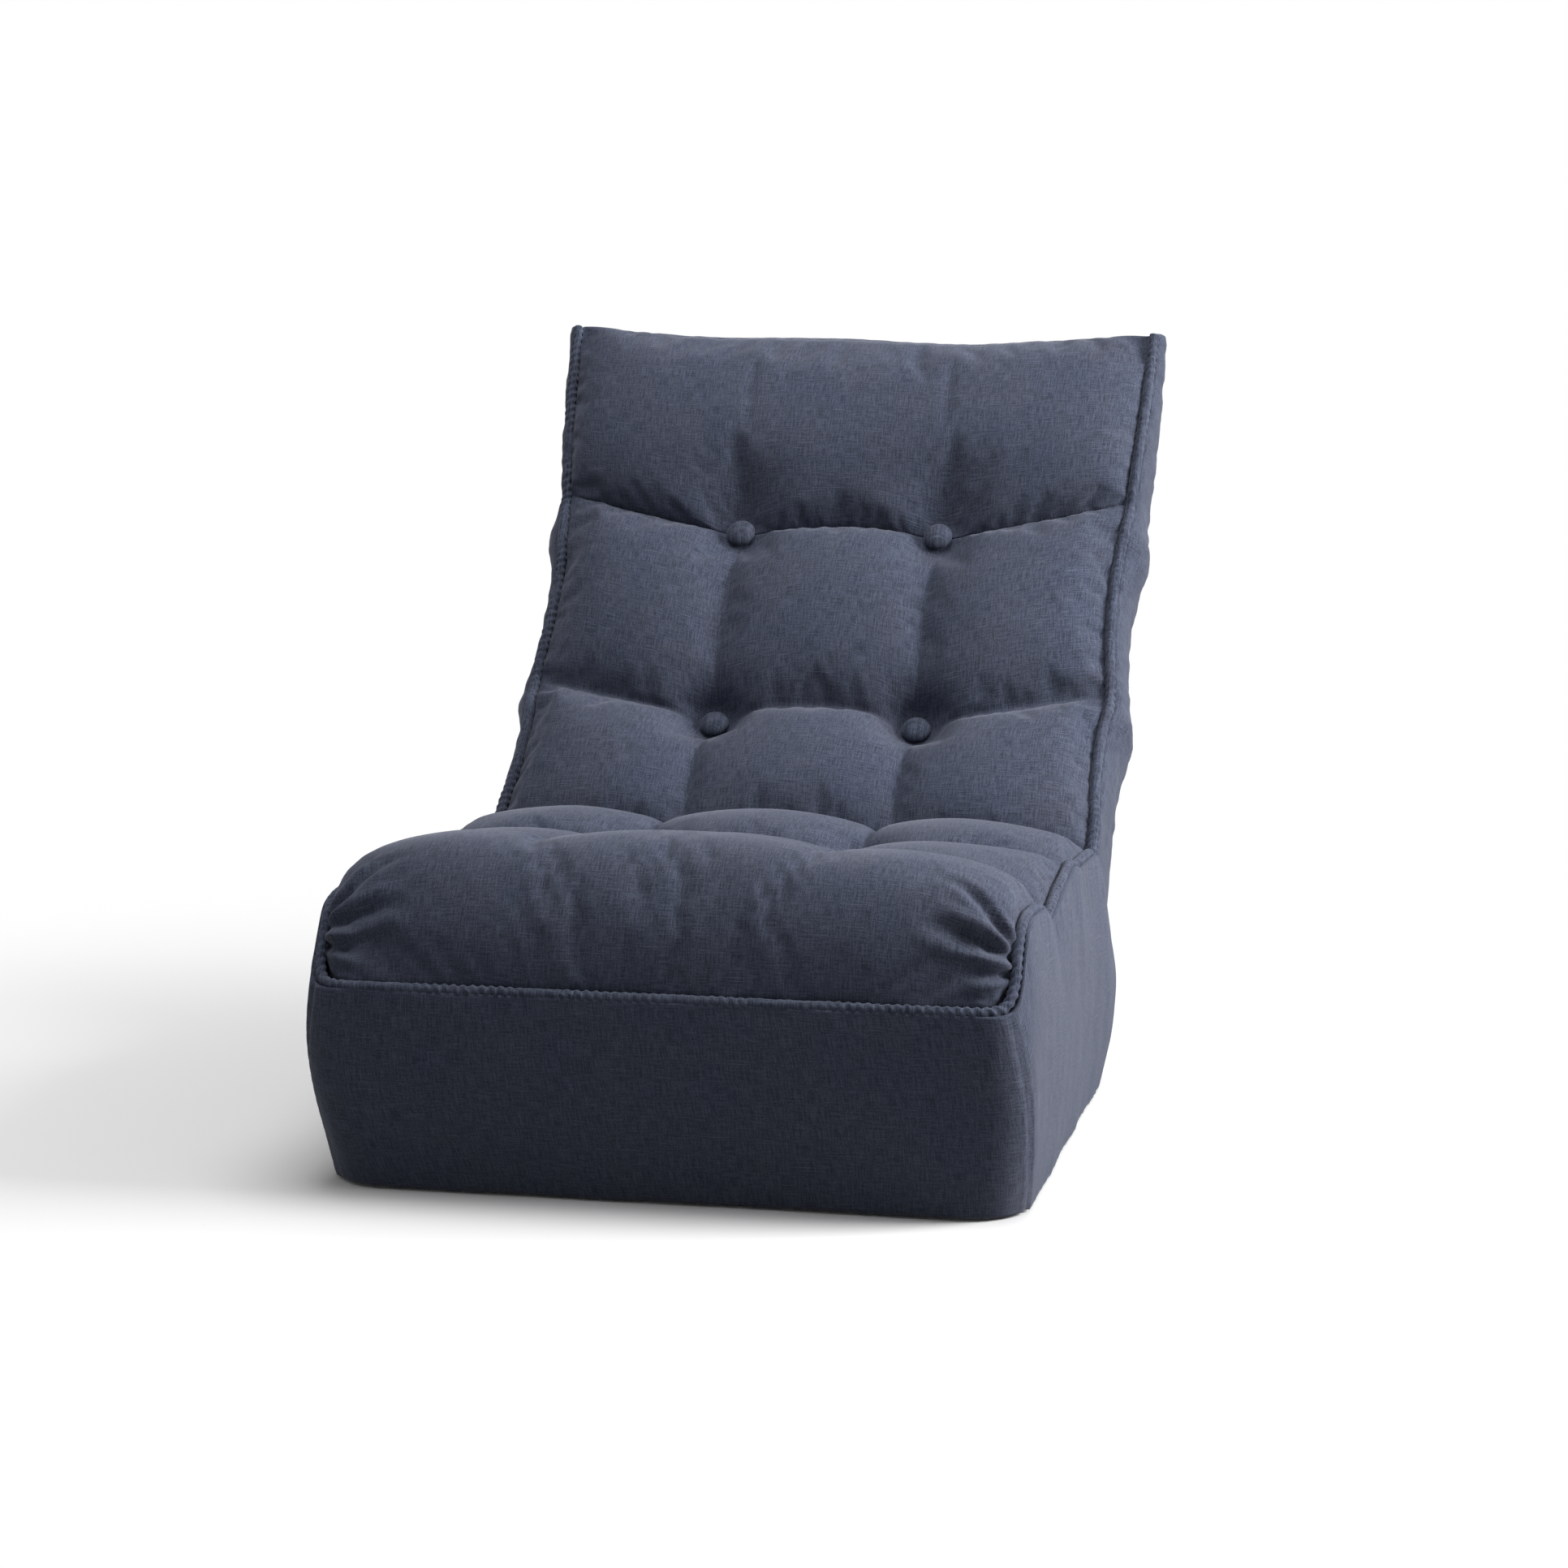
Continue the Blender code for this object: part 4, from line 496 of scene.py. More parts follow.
def plain(name, colour, roughness, metallic=0.0):
    """A plain finish with a fine grain in its tone and roughness."""
    material, tree, shader = new_material(name)
    source = node(tree, "TexCoord").outputs["Object"]
    speckle = streaks(tree, source, GRAIN, GRAIN)
    dark = tuple(c * (1 - CONTRAST) for c in colour)
    light = tuple(min(c * (1 + CONTRAST), 1.0) for c in colour)
    tree.links.new(mix_colour(tree, speckle, dark, light), shader.inputs["Base Color"])
    rough = ramp(tree, speckle, 0.0, 1.0)
    rough.node.inputs["To Min"].default_value = roughness - 0.05
    rough.node.inputs["To Max"].default_value = roughness + 0.05
    tree.links.new(rough, shader.inputs["Roughness"])
    shader.inputs["Metallic"].default_value = metallic
    return material

# Linear colours of the linen: its dark and light threads, its cool and warm clouds, its pale slubs
DEEP = (0.014, 0.0185, 0.033)
PALE = (0.084, 0.096, 0.142)
COOL = (0.032, 0.043, 0.074)
WARM = (0.048, 0.051, 0.071)
SLUB = (0.13, 0.152, 0.215)
WHITE = (1.0, 1.0, 1.0, 1.0)
LINEN_SHEEN = {
    "Roughness": 0.88, "Specular IOR Level": 0.2, "Sheen Weight": 0.16, "Sheen Roughness": 0.45,
    "Sheen Tint": (0.8, 0.82, 0.95, 1.0)}
GRAIN = 400.0
CONTRAST = 0.15
CLOTH = linen("navy_linen")
TRIM = linen("navy_linen_trim", "Object", 0.2)
BLACK = plain("black_cloth", (0.012, 0.012, 0.013), 0.9)
PAINT = plain("painted_steel", (0.03, 0.03, 0.033), 0.4)
ZINC = plain("zinc_steel", (0.62, 0.62, 0.6), 0.35, 1.0)

def finish_piece(obj, material, body=None):
    obj.data.materials.clear()
    obj.data.materials.append(material)
    if body:
        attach(obj, body)

# Quilting helpers

def hump(value, low, high, power):
    part = min(max((value - low) / (high - low), 0.0), 1.0)
    return sin(pi * part) ** power

def column(x, depth):
    """1 at the middle of a column of the tufting, less by depth at its seams."""
    if abs(x) <= BUTTON_X:
        rise = hump(x, -BUTTON_X, BUTTON_X, COLUMN_ROUND)
    else:
        middle = (BUTTON_X + HALF) / 2
        rise = hump(abs(x), BUTTON_X, 2 * middle - BUTTON_X, COLUMN_ROUND) if abs(x) < middle else 1.0
    return 1 - depth + depth * rise

def side_fall(x, power):
    return (1 - min(abs(x) / HALF, 1.0) ** power) ** 0.5

def pinch(x, along, seam):
    """1 at a button and near it, falling away round it."""
    total = 0.0
    for side in (-1, 1):
        distance = hypot(x - side * BUTTON_X, along - seam)
        total += 1 / (1 + (distance / PINCH_RADIUS) ** 4)
    return min(total, 1.0)

def columns():
    """Places across, one exactly on each column seam and close together round the side edges."""
    inner = round(2 * BUTTON_X / STEP)
    outer = round((HALF - CORNER - BUTTON_X) / STEP)
    middle = np.linspace(-BUTTON_X, BUTTON_X, inner + 1)
    flat = np.linspace(BUTTON_X, HALF - CORNER, outer + 1)
    rim = HALF - CORNER + CORNER * np.sin(np.radians(np.linspace(0, 90, 10)))
    right = np.concatenate([flat, rim[1:]])
    return np.concatenate([-right[::-1], middle[1:], right[1:]])

def stations_along(profile, low, high):
    """Values from low to high spaced so that the profile's points are about a step apart."""
    values = np.linspace(low, high, 800)
    lengths = run_length(np.array([profile(v) for v in values]))
    count = max(int(round(lengths[-1] / STEP)), 4)
    return np.interp(np.linspace(0, lengths[-1], count + 1), lengths, values)

XS = columns()

def hold(rows, pinned_rows, seam_columns, buttons, top_rows):
    """How firmly each grid point is held: seams, rims and button places fully, column seams mostly."""
    points = np.array(rows)
    held = np.zeros(points.shape[:2])
    for j in pinned_rows:
        held[j] = 1.0
    held[:top_rows[0] + 1] = 1.0
    held[top_rows[1]:] = 1.0
    held[:, :2] = 1.0
    held[:, -2:] = 1.0
    flat = np.concatenate([[-HALF], XS, [HALF]])
    for j in seam_columns:
        line = np.abs(np.abs(flat) - BUTTON_X) < 0.0015
        held[j, line] = np.maximum(held[j, line], COLUMN_HOLD)
    for button in buttons:
        near = np.linalg.norm(points - np.array(button), axis=2)
        held[near < BUTTON_HOLD] = 1.0
    return held.reshape(-1)

# Seat

def seat_place(x, y):
    """Where a point of the seat's quilt lies, from its place across and its nominal place along."""
    past = max(abs(x) - (HALF - CORNER), 0.0)
    shift = CORNER - sqrt(max(CORNER ** 2 - past ** 2, 0.0))
    distance = y - SEAT_FRONT_Y
    if distance < CORNER_REACH:
        y = SEAT_FRONT_Y + shift + (CORNER_REACH - shift) * distance / CORNER_REACH
    edge = seat_welt_height(y) + 0.0012
    seam_1 = SEAT_SEAM_1 - SEAT_FRONT_Y
    if distance <= seam_1:
        part = distance / seam_1
        if part < ROLL_CREST:
            rise = (1 - (1 - part / ROLL_CREST) ** FRONT_ROUND) ** 0.5
            middle = FRONT_WELT_Z + (ROLL_Z - FRONT_WELT_Z) * rise
        else:
            fall = ((part - ROLL_CREST) / (1 - ROLL_CREST)) ** REAR_ROUND
            middle = ROLL_Z - (ROLL_Z - SEAM_Z) * fall
        crest = sin(pi * min(part, 1.0)) ** 1.5
        for dip_x, dip_width, dip_depth in ROLL_DIPS:
            middle -= dip_depth * crest * exp(-((x - dip_x) / dip_width) ** 2)
        late = max(part - CHANNEL_START, 0.0) / (1 - CHANNEL_START)
        channel = CHANNEL_DEPTH * late ** 2
    else:
        low, high, last = SEAT_SEAM_1, SEAT_SEAM_2, SEAM_Z
        if distance > SEAT_SEAM_2 - SEAT_FRONT_Y:
            low, high, last = SEAT_SEAM_2, SEAT_REAR, SEAT_REAR_Z
        base = SEAM_Z + (last - SEAM_Z) * ((y - low) / (high - low)) ** 3
        middle = base + PUFF_CROWN * hump(y, low, high, PUFF_ROUND)
        channel = PUFF_CHANNEL
    edge = min(edge, middle + 0.03) if distance > CORNER_REACH else edge
    height = edge + (middle - edge) * side_fall(x, SIDE_ROUND) * column(x, channel)
    if distance < CORNER_REACH:
        height = max(height, edge)
    for seam in SEAT_SEAMS:
        height -= max(height - BUTTON_FLOOR, 0.0) * pinch(x, y, seam)
    return x, y, height

BUTTON_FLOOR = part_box("seat_button_front_left")[0].z - BUTTON_SINK

# Folds gathered into the front corner: points on the quilt, width at the piping and inside, and depth
GATHERS = (
    (((0.304, -0.268, 0.24), (0.2894, -0.2677, 0.2623), (0.2741, -0.2625, 0.2796),
      (0.26, -0.2562, 0.2912), (0.2446, -0.2524, 0.2981), (0.2305, -0.2487, 0.3033)),
     0.0034, 0.0055, 0.0042),
    (((0.304, -0.2713, 0.235), (0.2945, -0.27, 0.2531), (0.2856, -0.2699, 0.2629),
      (0.2728, -0.2688, 0.2729)), 0.003, 0.005, 0.004),
    (((0.304, -0.2711, 0.231), (0.2856, -0.2833, 0.2426), (0.2651, -0.2851, 0.2528),
      (0.2433, -0.2851, 0.2601), (0.2293, -0.2826, 0.2678)), 0.0036, 0.0085, 0.0095),
    (((0.304, -0.28, 0.22), (0.2907, -0.2916, 0.2213), (0.2741, -0.2977, 0.2237),
      (0.26, -0.2977, 0.228)), 0.0032, 0.006, 0.0066),
    (((0.2869, -0.2997, 0.2042), (0.2689, -0.304, 0.1985), (0.2523, -0.304, 0.197)),
     0.004, 0.006, 0.0018),
)
LEFT_SHARE = 0.9
FOLD_RIDGE = 0.42

def fold_depth(co):
    """How far each point is drawn in by the gathered folds at both front corners."""
    total = np.zeros(len(co))
    mirrored = co * np.array([-1.0, 1.0, 1.0])
    for points, narrow, wide, deep in GATHERS:
        even, dense = spaced(np.array(points), 60)
        share = even / even[-1]
        for where, strength in ((co, 1.0), (mirrored, LEFT_SHARE)):
            near = np.nonzero((where[:, 0] > 0.19) & (where[:, 1] < -0.2))[0]
            gap = np.linalg.norm(where[near][:, None, :] - dense[None, :, :], axis=2)
            best = np.argmin(gap, axis=1)
            at = share[best]
            width = narrow + (wide - narrow) * np.minimum(at * 1.6, 1.0)
            away = gap[np.arange(len(near)), best] / width
            envelope = np.minimum(0.55 + at * 2.5, 1.0) * np.clip((1 - at) * 2.2, 0.0, 1.0)
            trough = np.exp(-away ** 2)
            ridge = FOLD_RIDGE * np.exp(-((away - 1.9) / 0.9) ** 2)
            total[near] += deep * strength * envelope * (trough - ridge)
    return total

def edge_puckers(co, inward, seed, pitch):
    """Small creases running in from the side seams."""
    near = np.exp(-np.maximum(inward, 0.0) / 0.028) * np.clip(inward / 0.004, 0.0, 1.0)
    return near * wobble(co, (0.06, pitch, pitch), seed)

def seam_puckers(co, gap, reach, start, pitch, seed):
    """Small creases beside the row seams, from each point's gap to them."""
    near = np.exp(-gap / reach) * np.clip(gap / start, 0, 1)
    return near * wobble(co, (pitch, 0.05, 0.05), seed)

def make_seat():
    parts = []
    for low, high in ((SEAT_FRONT_Y, SEAT_SEAM_1), (SEAT_SEAM_1, SEAT_SEAM_2), (SEAT_SEAM_2, SEAT_REAR)):
        values = stations_along(lambda y: seat_place(0.03, y)[1:], low, high)
        parts.append(values if not parts else values[1:])
    ys = np.concatenate(parts)
    rows = []
    for level in (0.0, 0.35, 0.7):
        front = [seat_place(x, SEAT_FRONT_Y) for x in XS]
        rows.append([(x, y + 0.004, z - SEAT_FLAP * (1 - level)) for x, y, z in front])
    rows += [[seat_place(x, y) for x in XS] for y in ys]
    for drop in (0.02, 0.045):
        rows.append([(x, SEAT_REAR + 0.2 * drop, seat_place(x, SEAT_REAR)[2] - drop) for x in XS])
    for row in rows:
        first, last = row[0], row[-1]
        row.insert(0, (first[0] + TUCK_IN, first[1], first[2] - SEAT_TUCK))
        row.append((last[0] - TUCK_IN, last[1], last[2] - SEAT_TUCK))
    obj = grid("seat_quilt", rows)
    seam_rows = [3 + int(np.argmin(np.abs(ys - seam))) for seam in SEAT_SEAMS]
    buttons = [(side * BUTTON_X, seam, BUTTON_FLOOR) for side in (-1, 1) for seam in SEAT_SEAMS]
    held = hold(rows, seam_rows, range(seam_rows[0], len(rows) - 3), buttons, (3, len(rows) - 3))
    swell_quilt(obj, held, (0.0, -0.05, 0.172))
    co = coordinates(obj)
    seam_gap = np.minimum(*(np.abs(co[:, 1] - seam) for seam in SEAT_SEAMS))
    front_gap = np.maximum(co[:, 2] - 0.192, 0.0) + np.maximum(co[:, 1] + 0.295, 0.0)
    move = 0.0013 * edge_puckers(co, HALF - np.abs(co[:, 0]), 11, 0.016)
    move += 0.0008 * seam_puckers(co, seam_gap, 0.016, 0.003, 0.013, 12)
    move += 0.0006 * np.exp(-front_gap / 0.014) * wobble(co, (0.012, 0.05, 0.05), 13)
    move += 0.0012 * wobble(co, (0.12, 0.12, 0.12), 14)
    on_top = co[:, 2] > 0.185
    push(obj, np.where(on_top, move - fold_depth(co), 0.0))
    return obj

# Back

def outer_part(x):
    """0 up to the buttons, 1 at the side edges."""
    return max(abs(x) - BUTTON_X, 0.0) / (HALF - BUTTON_X)

def sag(x, arch):
    """0 at the sides and 1 at the buttons, less by the arch half-way between them."""
    rise = arch * cos(pi / 2 * min(abs(x) / BUTTON_X, 1.0))
    return 1 - min(outer_part(x), 1.0) ** SAG_POWER - rise

def seam_distance(x):
    """The lumbar seam, which sags from the sides to the buttons."""
    return LOWER_LENGTH - LUMBAR_SAG * sag(x, LUMBAR_ARCH)

def top_seam_distance(x):
    """The seam under the headrest row, in the same way."""
    return TOP_SEAM - TOP_SAG * sag(x, TOP_ARCH)

TOP_SEAMS = [(x, top_seam_distance(x)) for x in XS]

def inside_edge(co, distance):
    """How far each point of the back lies inside its side edge."""
    return HALF - np.array([welt_inset(d) for d in distance]) - np.abs(co[:, 0])

def drawn_in(x, distance):
    """Pulls the side edges of the back's rows in with the piping."""
    side = 1.0 if x > 0 else -1.0
    return x - side * welt_inset(distance) * outer_part(x) ** 1.5

def welt_depth(distance):
    """Depth of the side piping along the whole back."""
    low = WELT_LOW + 0.004 * cos(min(max(distance, 0.0) / 0.2, 1.0) * pi)
    depth = low
    if distance > BACK_LENGTH:
        part = (distance - BACK_LENGTH) / HEAD_LENGTH
        depth = low + (WELT_HIGH - low) * min(part, 1.0) ** 1.5
    depth -= WELT_DIP * exp(-((distance - LOWER_LENGTH + 0.003) / DIP_WIDTH) ** 2)
    return depth - WELT_DIP * exp(-((distance - BACK_LENGTH + 0.016) / DIP_WIDTH) ** 2)

def pressed(depth, x, distance, button):
    """The quilt drawn down to a button's base."""
    seam, floor = button
    return depth - max(depth - floor + BUTTON_SINK, 0.0) * pinch(x, distance, seam)

def back_depth(x, distance):
    """Depth of the back's quilt over the back's line."""
    seam = seam_distance(x)
    top = top_seam_distance(x)
    if distance < seam:
        base = HUB + (BACK_BASE - HUB) * distance / seam
        rise = hump(distance, 0.0, seam, BACK_ROUND)
    else:
        base = BACK_BASE
        rise = hump(distance, seam, top, BACK_ROUND)
        flange = exp(-((top - distance - FLANGE_DROP) / FLANGE_WIDTH) ** 2)
        base -= FLANGE_DEPTH * flange * min((HALF - abs(x)) / 0.03, 1.0)
    full = base + BACK_CROWN * rise * column(x, BACK_CHANNEL)
    edge = welt_depth(distance) + 0.001
    depth = edge + (full - edge) * side_fall(x, SIDE_ROUND)
    depth = pressed(depth, x, distance, LOWER_BUTTON)
    return pressed(depth, x, distance, UPPER_BUTTON)

def turned_in(rows, round_rows=0):
    """Adds a column of points turned in behind each piping; the round end turns to its axis."""
    for j, row in enumerate(rows):
        inward = (sin(UPPER_ANGLE), -cos(UPPER_ANGLE))
        if j < round_rows:
            inward = ((RECLINE[0] - row[0][1]) / HUB, (RECLINE[1] - row[0][2]) / HUB)
        x, y, z = row[0]
        row.insert(0, (x + TUCK_IN, y + EDGE_TUCK * inward[0], z + EDGE_TUCK * inward[1]))
        x, y, z = row[-1]
        row.append((x - TUCK_IN, y + EDGE_TUCK * inward[0], z + EDGE_TUCK * inward[1]))

def back_point(x, distance, depth):
    return (drawn_in(x, distance), *place(back_line, distance, depth))

def make_back():
    rows = []
    for degrees in np.linspace(160, 4, 34):
        turn = radians(degrees)
        reach = HUB - 0.001 * sin(turn)
        rows.append([(drawn_in(x, 0.0), *place(back_line, -reach * sin(turn), reach * cos(turn)))
                     for x in XS])
    hub_rows = len(rows)
    below = np.linspace(0, 1, 35)
    tight = 1 - np.array(FLANGE_ROWS) / UPPER_ROW
    above = np.concatenate([np.linspace(0, tight[-1], 42)[1:], tight[:-1][::-1]])
    shares = np.concatenate([below, 1 + above])
    for share in shares:
        row = []
        for x, top in TOP_SEAMS:
            seam = seam_distance(x)
            distance = seam * share if share <= 1 else seam + (top - seam) * (share - 1)
            row.append(back_point(x, distance, back_depth(x, distance)))
        rows.append(row)
    seam_row = hub_rows + len(below) - 1
    top_row = len(rows) - 1
    for step, drop in ((0.004, 0.01), (0.01, 0.018)):
        rows.append([back_point(x, min(top + step, BACK_LENGTH - 0.004), back_depth(x, top) - drop)
                     for x, top in TOP_SEAMS])
    turned_in(rows, hub_rows)
    obj = grid("back_quilt", rows)
    buttons = [(side * BUTTON_X, *place(back_line, *button)) for side in (-1, 1)
               for button in (LOWER_BUTTON, UPPER_BUTTON)]
    held = hold(rows, [seam_row], range(hub_rows, top_row), buttons, (hub_rows - 1, top_row))
    swell_quilt(obj, held, (0.0, *place(back_line, 0.2, 0.003)))
    co = coordinates(obj)
    distance = along_back(co)
    seam_gap = np.array([min(abs(d - seam_distance(x)), abs(d - top_seam_distance(x)))
                         for x, d in zip(co[:, 0], distance)])
    move = 0.0026 * edge_puckers(co, inside_edge(co, distance), 21, 0.014)
    move += 0.0008 * seam_puckers(co, seam_gap, 0.018, 0.004, 0.014, 22)
    move += 0.0012 * wobble(co, (0.11, 0.11, 0.11), 23)
    clear = np.clip((distance - 0.02) / 0.03, 0, 1)
    push(obj, clear * move)
    return obj

# Headrest

def head_depth(x, distance, share):
    """Depth of the headrest row over the whole line, from its bottom seam to the top edge."""
    low = MEAN_SEAM + (top_seam_distance(x) - MEAN_SEAM) * (1 - share) ** 4
    part = min(max((distance - low) / (WHOLE_LENGTH - low), 0.0), 1.0)
    edge = BACK_BASE + (HEAD_TOP - BACK_BASE) * part ** 1.5
    rise = sin(pi * part ** 0.85) ** 0.5 if part < 1 else 0.0
    full = edge + HEAD_CROWN * rise
    seam = UPPER_BUTTON[0]
    for side in (-1, 1):
        across = exp(-((x - side * BUTTON_X) / VALLEY_WIDTH) ** 2)
        full -= VALLEY_DEPTH * across * exp(-((distance - seam - 0.03) / VALLEY_REACH) ** 2)
    side_edge = welt_depth(distance) + 0.001
    depth = side_edge + (full - side_edge) * side_fall(x, HEAD_ROUND)
    return pressed(depth, x, distance, UPPER_BUTTON)

def raised(x, distance):
    """Distance with the top edge's rise and dip, fading out below it."""
    fade = min(max((distance - WHOLE_LENGTH + TOP_FADE) / TOP_FADE, 0.0), 1.0)
    return distance + top_wave(x) * fade ** 2

def make_head():
    rows = []
    for step, drop in ((-0.006, 0.018), (-0.003, 0.01)):
        rows.append([(drawn_in(x, low), *place(whole_line, low + step, head_depth(x, low, 0.0) - drop))
                     for x, low in TOP_SEAMS])
    for share in np.concatenate([[0.0, 0.004, 0.01], np.linspace(0.018, 0.982, 54), [0.991, 0.997, 1.0]]):
        row = []
        for x, low in TOP_SEAMS:
            distance = low + (WHOLE_LENGTH - low) * share
            depth = head_depth(x, distance, share)
            row.append((drawn_in(x, distance), *place(whole_line, raised(x, distance), depth)))
        rows.append(row)
    for depth in (0.019, 0.012, 0.006):
        rows.append([(drawn_in(x, WHOLE_LENGTH), *place(whole_line, raised(x, WHOLE_LENGTH + 0.002), depth))
                     for x in XS])
    turned_in(rows)
    obj = grid("headrest_quilt", rows)
    buttons = [(side * BUTTON_X, *place(back_line, *UPPER_BUTTON)) for side in (-1, 1)]
    held = hold(rows, [], [], buttons, (2, len(rows) - 2))
    swell_quilt(obj, held, (0.0, *place(head_line, 0.09, 0.003)))
    co = coordinates(obj)
    distance = along_back(co)
    seam_gap = np.array([abs(d - top_seam_distance(x)) for x, d in zip(co[:, 0], distance)])
    move = 0.0013 * edge_puckers(co, inside_edge(co, distance), 31, 0.016)
    move += 0.0007 * seam_puckers(co, seam_gap, 0.02, 0.004, 0.016, 32)
    move += 0.0014 * wobble(co, (0.13, 0.13, 0.13), 33)
    push(obj, move)
    return obj

# Box cover of the base

# The side's top edge runs behind the piping and then slopes down past the back's round end
rear_slope = smooth_curve([
    (SLOPE_START, 0.238), (0.232, 0.2285), (0.25, 0.212), (0.27, 0.19), (0.29, 0.166),
    (0.31, 0.144), (0.328, 0.127), (BASE_REAR_Y, REAR_LIP_Z)])

def side_top(x, y):
    """Height of the base's top edge at a plan point."""
    if abs(x) < PANEL_HALF - CORNER and y > 0:
        return REAR_LIP_Z
    if y > SLOPE_START:
        return rear_slope(y)
    return seat_welt_height(y) - 0.001

def plan(level, along):
    """A plan point of the base's skin and its turn round the corner; along runs round it in four sides."""
    lean = (1 - level) ** 1.3
    bulge = SIDE_BULGE * sin(pi * min(level * 0.85 + 0.08, 1.0))
    half = PANEL_HALF + bulge
    front = BASE_FRONT_Y - FRONT_BULGE + FRONT_LEAN * lean - bulge * 0.3
    rear = BASE_REAR_Y - REAR_LEAN * lean
    corner = CORNER + (FOOT_CORNER - CORNER) * (1 - level)
    straight_x = 2 * (half - corner)
    straight_y = rear - front - 2 * corner
    quarter = corner * pi / 2
    side, part = int(along), along - int(along)
    straight = straight_x if side % 2 == 0 else straight_y
    travel = part * (straight + quarter) - straight
    local, turn = (straight + travel, 0.0) if travel <= 0 else (straight, travel / corner)
    bend = (corner * sin(turn), corner - corner * cos(turn))
    if side == 0:
        return -half + corner + local + bend[0], front + bend[1], turn
    if side == 1:
        return half - bend[1], front + corner + local + bend[0], turn
    if side == 2:
        return half - corner - local - bend[0], rear - bend[1], turn
    return -half + bend[1], rear - corner - local - bend[0], turn

def make_base():
    sides = []
    for side, count in ((0, 150), (1, 170), (2, 110), (3, 170)):
        sides += [side + i / count for i in range(count)]
    levels = np.concatenate([np.linspace(0, 1, 56), [1.0]])
    rows = []
    turns = []
    tops = [side_top(*plan(1.0, along)[:2]) for along in sides]
    for level in levels:
        row = []
        for along, top in zip(sides, tops):
            x, y, turn = plan(level, along)
            row.append((x, y, FLOOR_GAP + (top - FLOOR_GAP) * level))
            turns.append((turn, int(along), level))
        rows.append(row)
    rows[-1] = [(x * 0.977, y * 0.977, z - 0.0025) for x, y, z in rows[-1]]
    rows.append([(x * 0.98, y * 0.98, z - 0.01) for x, y, z in rows[-1]])
    turns += turns[-len(sides):]
    obj = grid("base_panels", rows, wrap=True)
    co = coordinates(obj)
    turn, side, level = np.array(turns).T
    low = wobble(co, (0.13, 0.13, 0.1), 3)
    upright = wobble(co, (0.075, 0.075, 0.2), 4)
    top = np.array([side_top(x, y) for x, y in zip(co[:, 0], co[:, 1])])
    below = np.maximum(top - co[:, 2], 0.0)
    near_top = np.exp(-below / 0.022) * np.clip(below / 0.004, 0.0, 1.0)
    near_foot = np.exp(-co[:, 2] / 0.02)
    puckers = wobble(co, (0.011, 0.011, 0.08), 5)
    on_side = np.clip((np.abs(co[:, 0]) - 0.25) / 0.05, 0.0, 1.0)
    move = 0.002 * low + (0.0005 + 0.0012 * on_side) * upright
    move += 0.0014 * puckers * near_top + 0.0008 * puckers * near_foot
    seam_turn = np.radians(72 - 24 * level)
    seam_turn = np.where(side == 3, np.pi / 2 - seam_turn, seam_turn)
    reach = (turn - seam_turn) * (CORNER + (FOOT_CORNER - CORNER) * (1 - level))
    front_corner = ((side == 0) | (side == 3)) & (turn > 0)
    groove = np.exp(-(reach / 0.0022) ** 2) - 0.35 * np.exp(-((np.abs(reach) - 0.0055) / 0.003) ** 2)
    move -= np.where(front_corner, 0.0026 * groove, 0.0)
    quiet = np.clip((1.0 - level) / 0.03, 0.0, 1.0)
    push(obj, move * quiet)
    thicken(obj, -1)
    return obj

def make_deck():
    """The foam's top inside the base: level behind, then a trough round the back's lower end."""
    profile = [(BASE_REAR_Y - 0.009, REAR_LIP_Z - 0.012), (BASE_REAR_Y - 0.012, REAR_LIP_Z - 0.003)]
    profile += [(y, REAR_LIP_Z - 0.0015) for y in np.linspace(BASE_REAR_Y - 0.018, RECLINE[0] + 0.004, 8)]
    reach = RECLINE[1] - REAR_LIP_Z + 0.0015
    profile += [(RECLINE[0] + reach * cos(a), RECLINE[1] + reach * sin(a))
                for a in np.radians(np.linspace(-93, -150, 10))]
    rows = [[(x, y, z) for x in np.linspace(-0.3, 0.3, 60)] for y, z in profile]
    return grid("rear_deck", rows)

# Gussets and rear panel of the back and headrest, in one skin

def rear_depth(distance):
    if distance < BACK_LENGTH:
        part = distance / BACK_LENGTH
        return -(BACK_REAR_DEPTH + (HEAD_HUB - BACK_REAR_DEPTH) * part)
    part = min((distance - BACK_LENGTH) / HEAD_LENGTH, 1.0)
    return -(HEAD_HUB * (1 - part ** 2.4) - 0.008 * part ** 2.4)

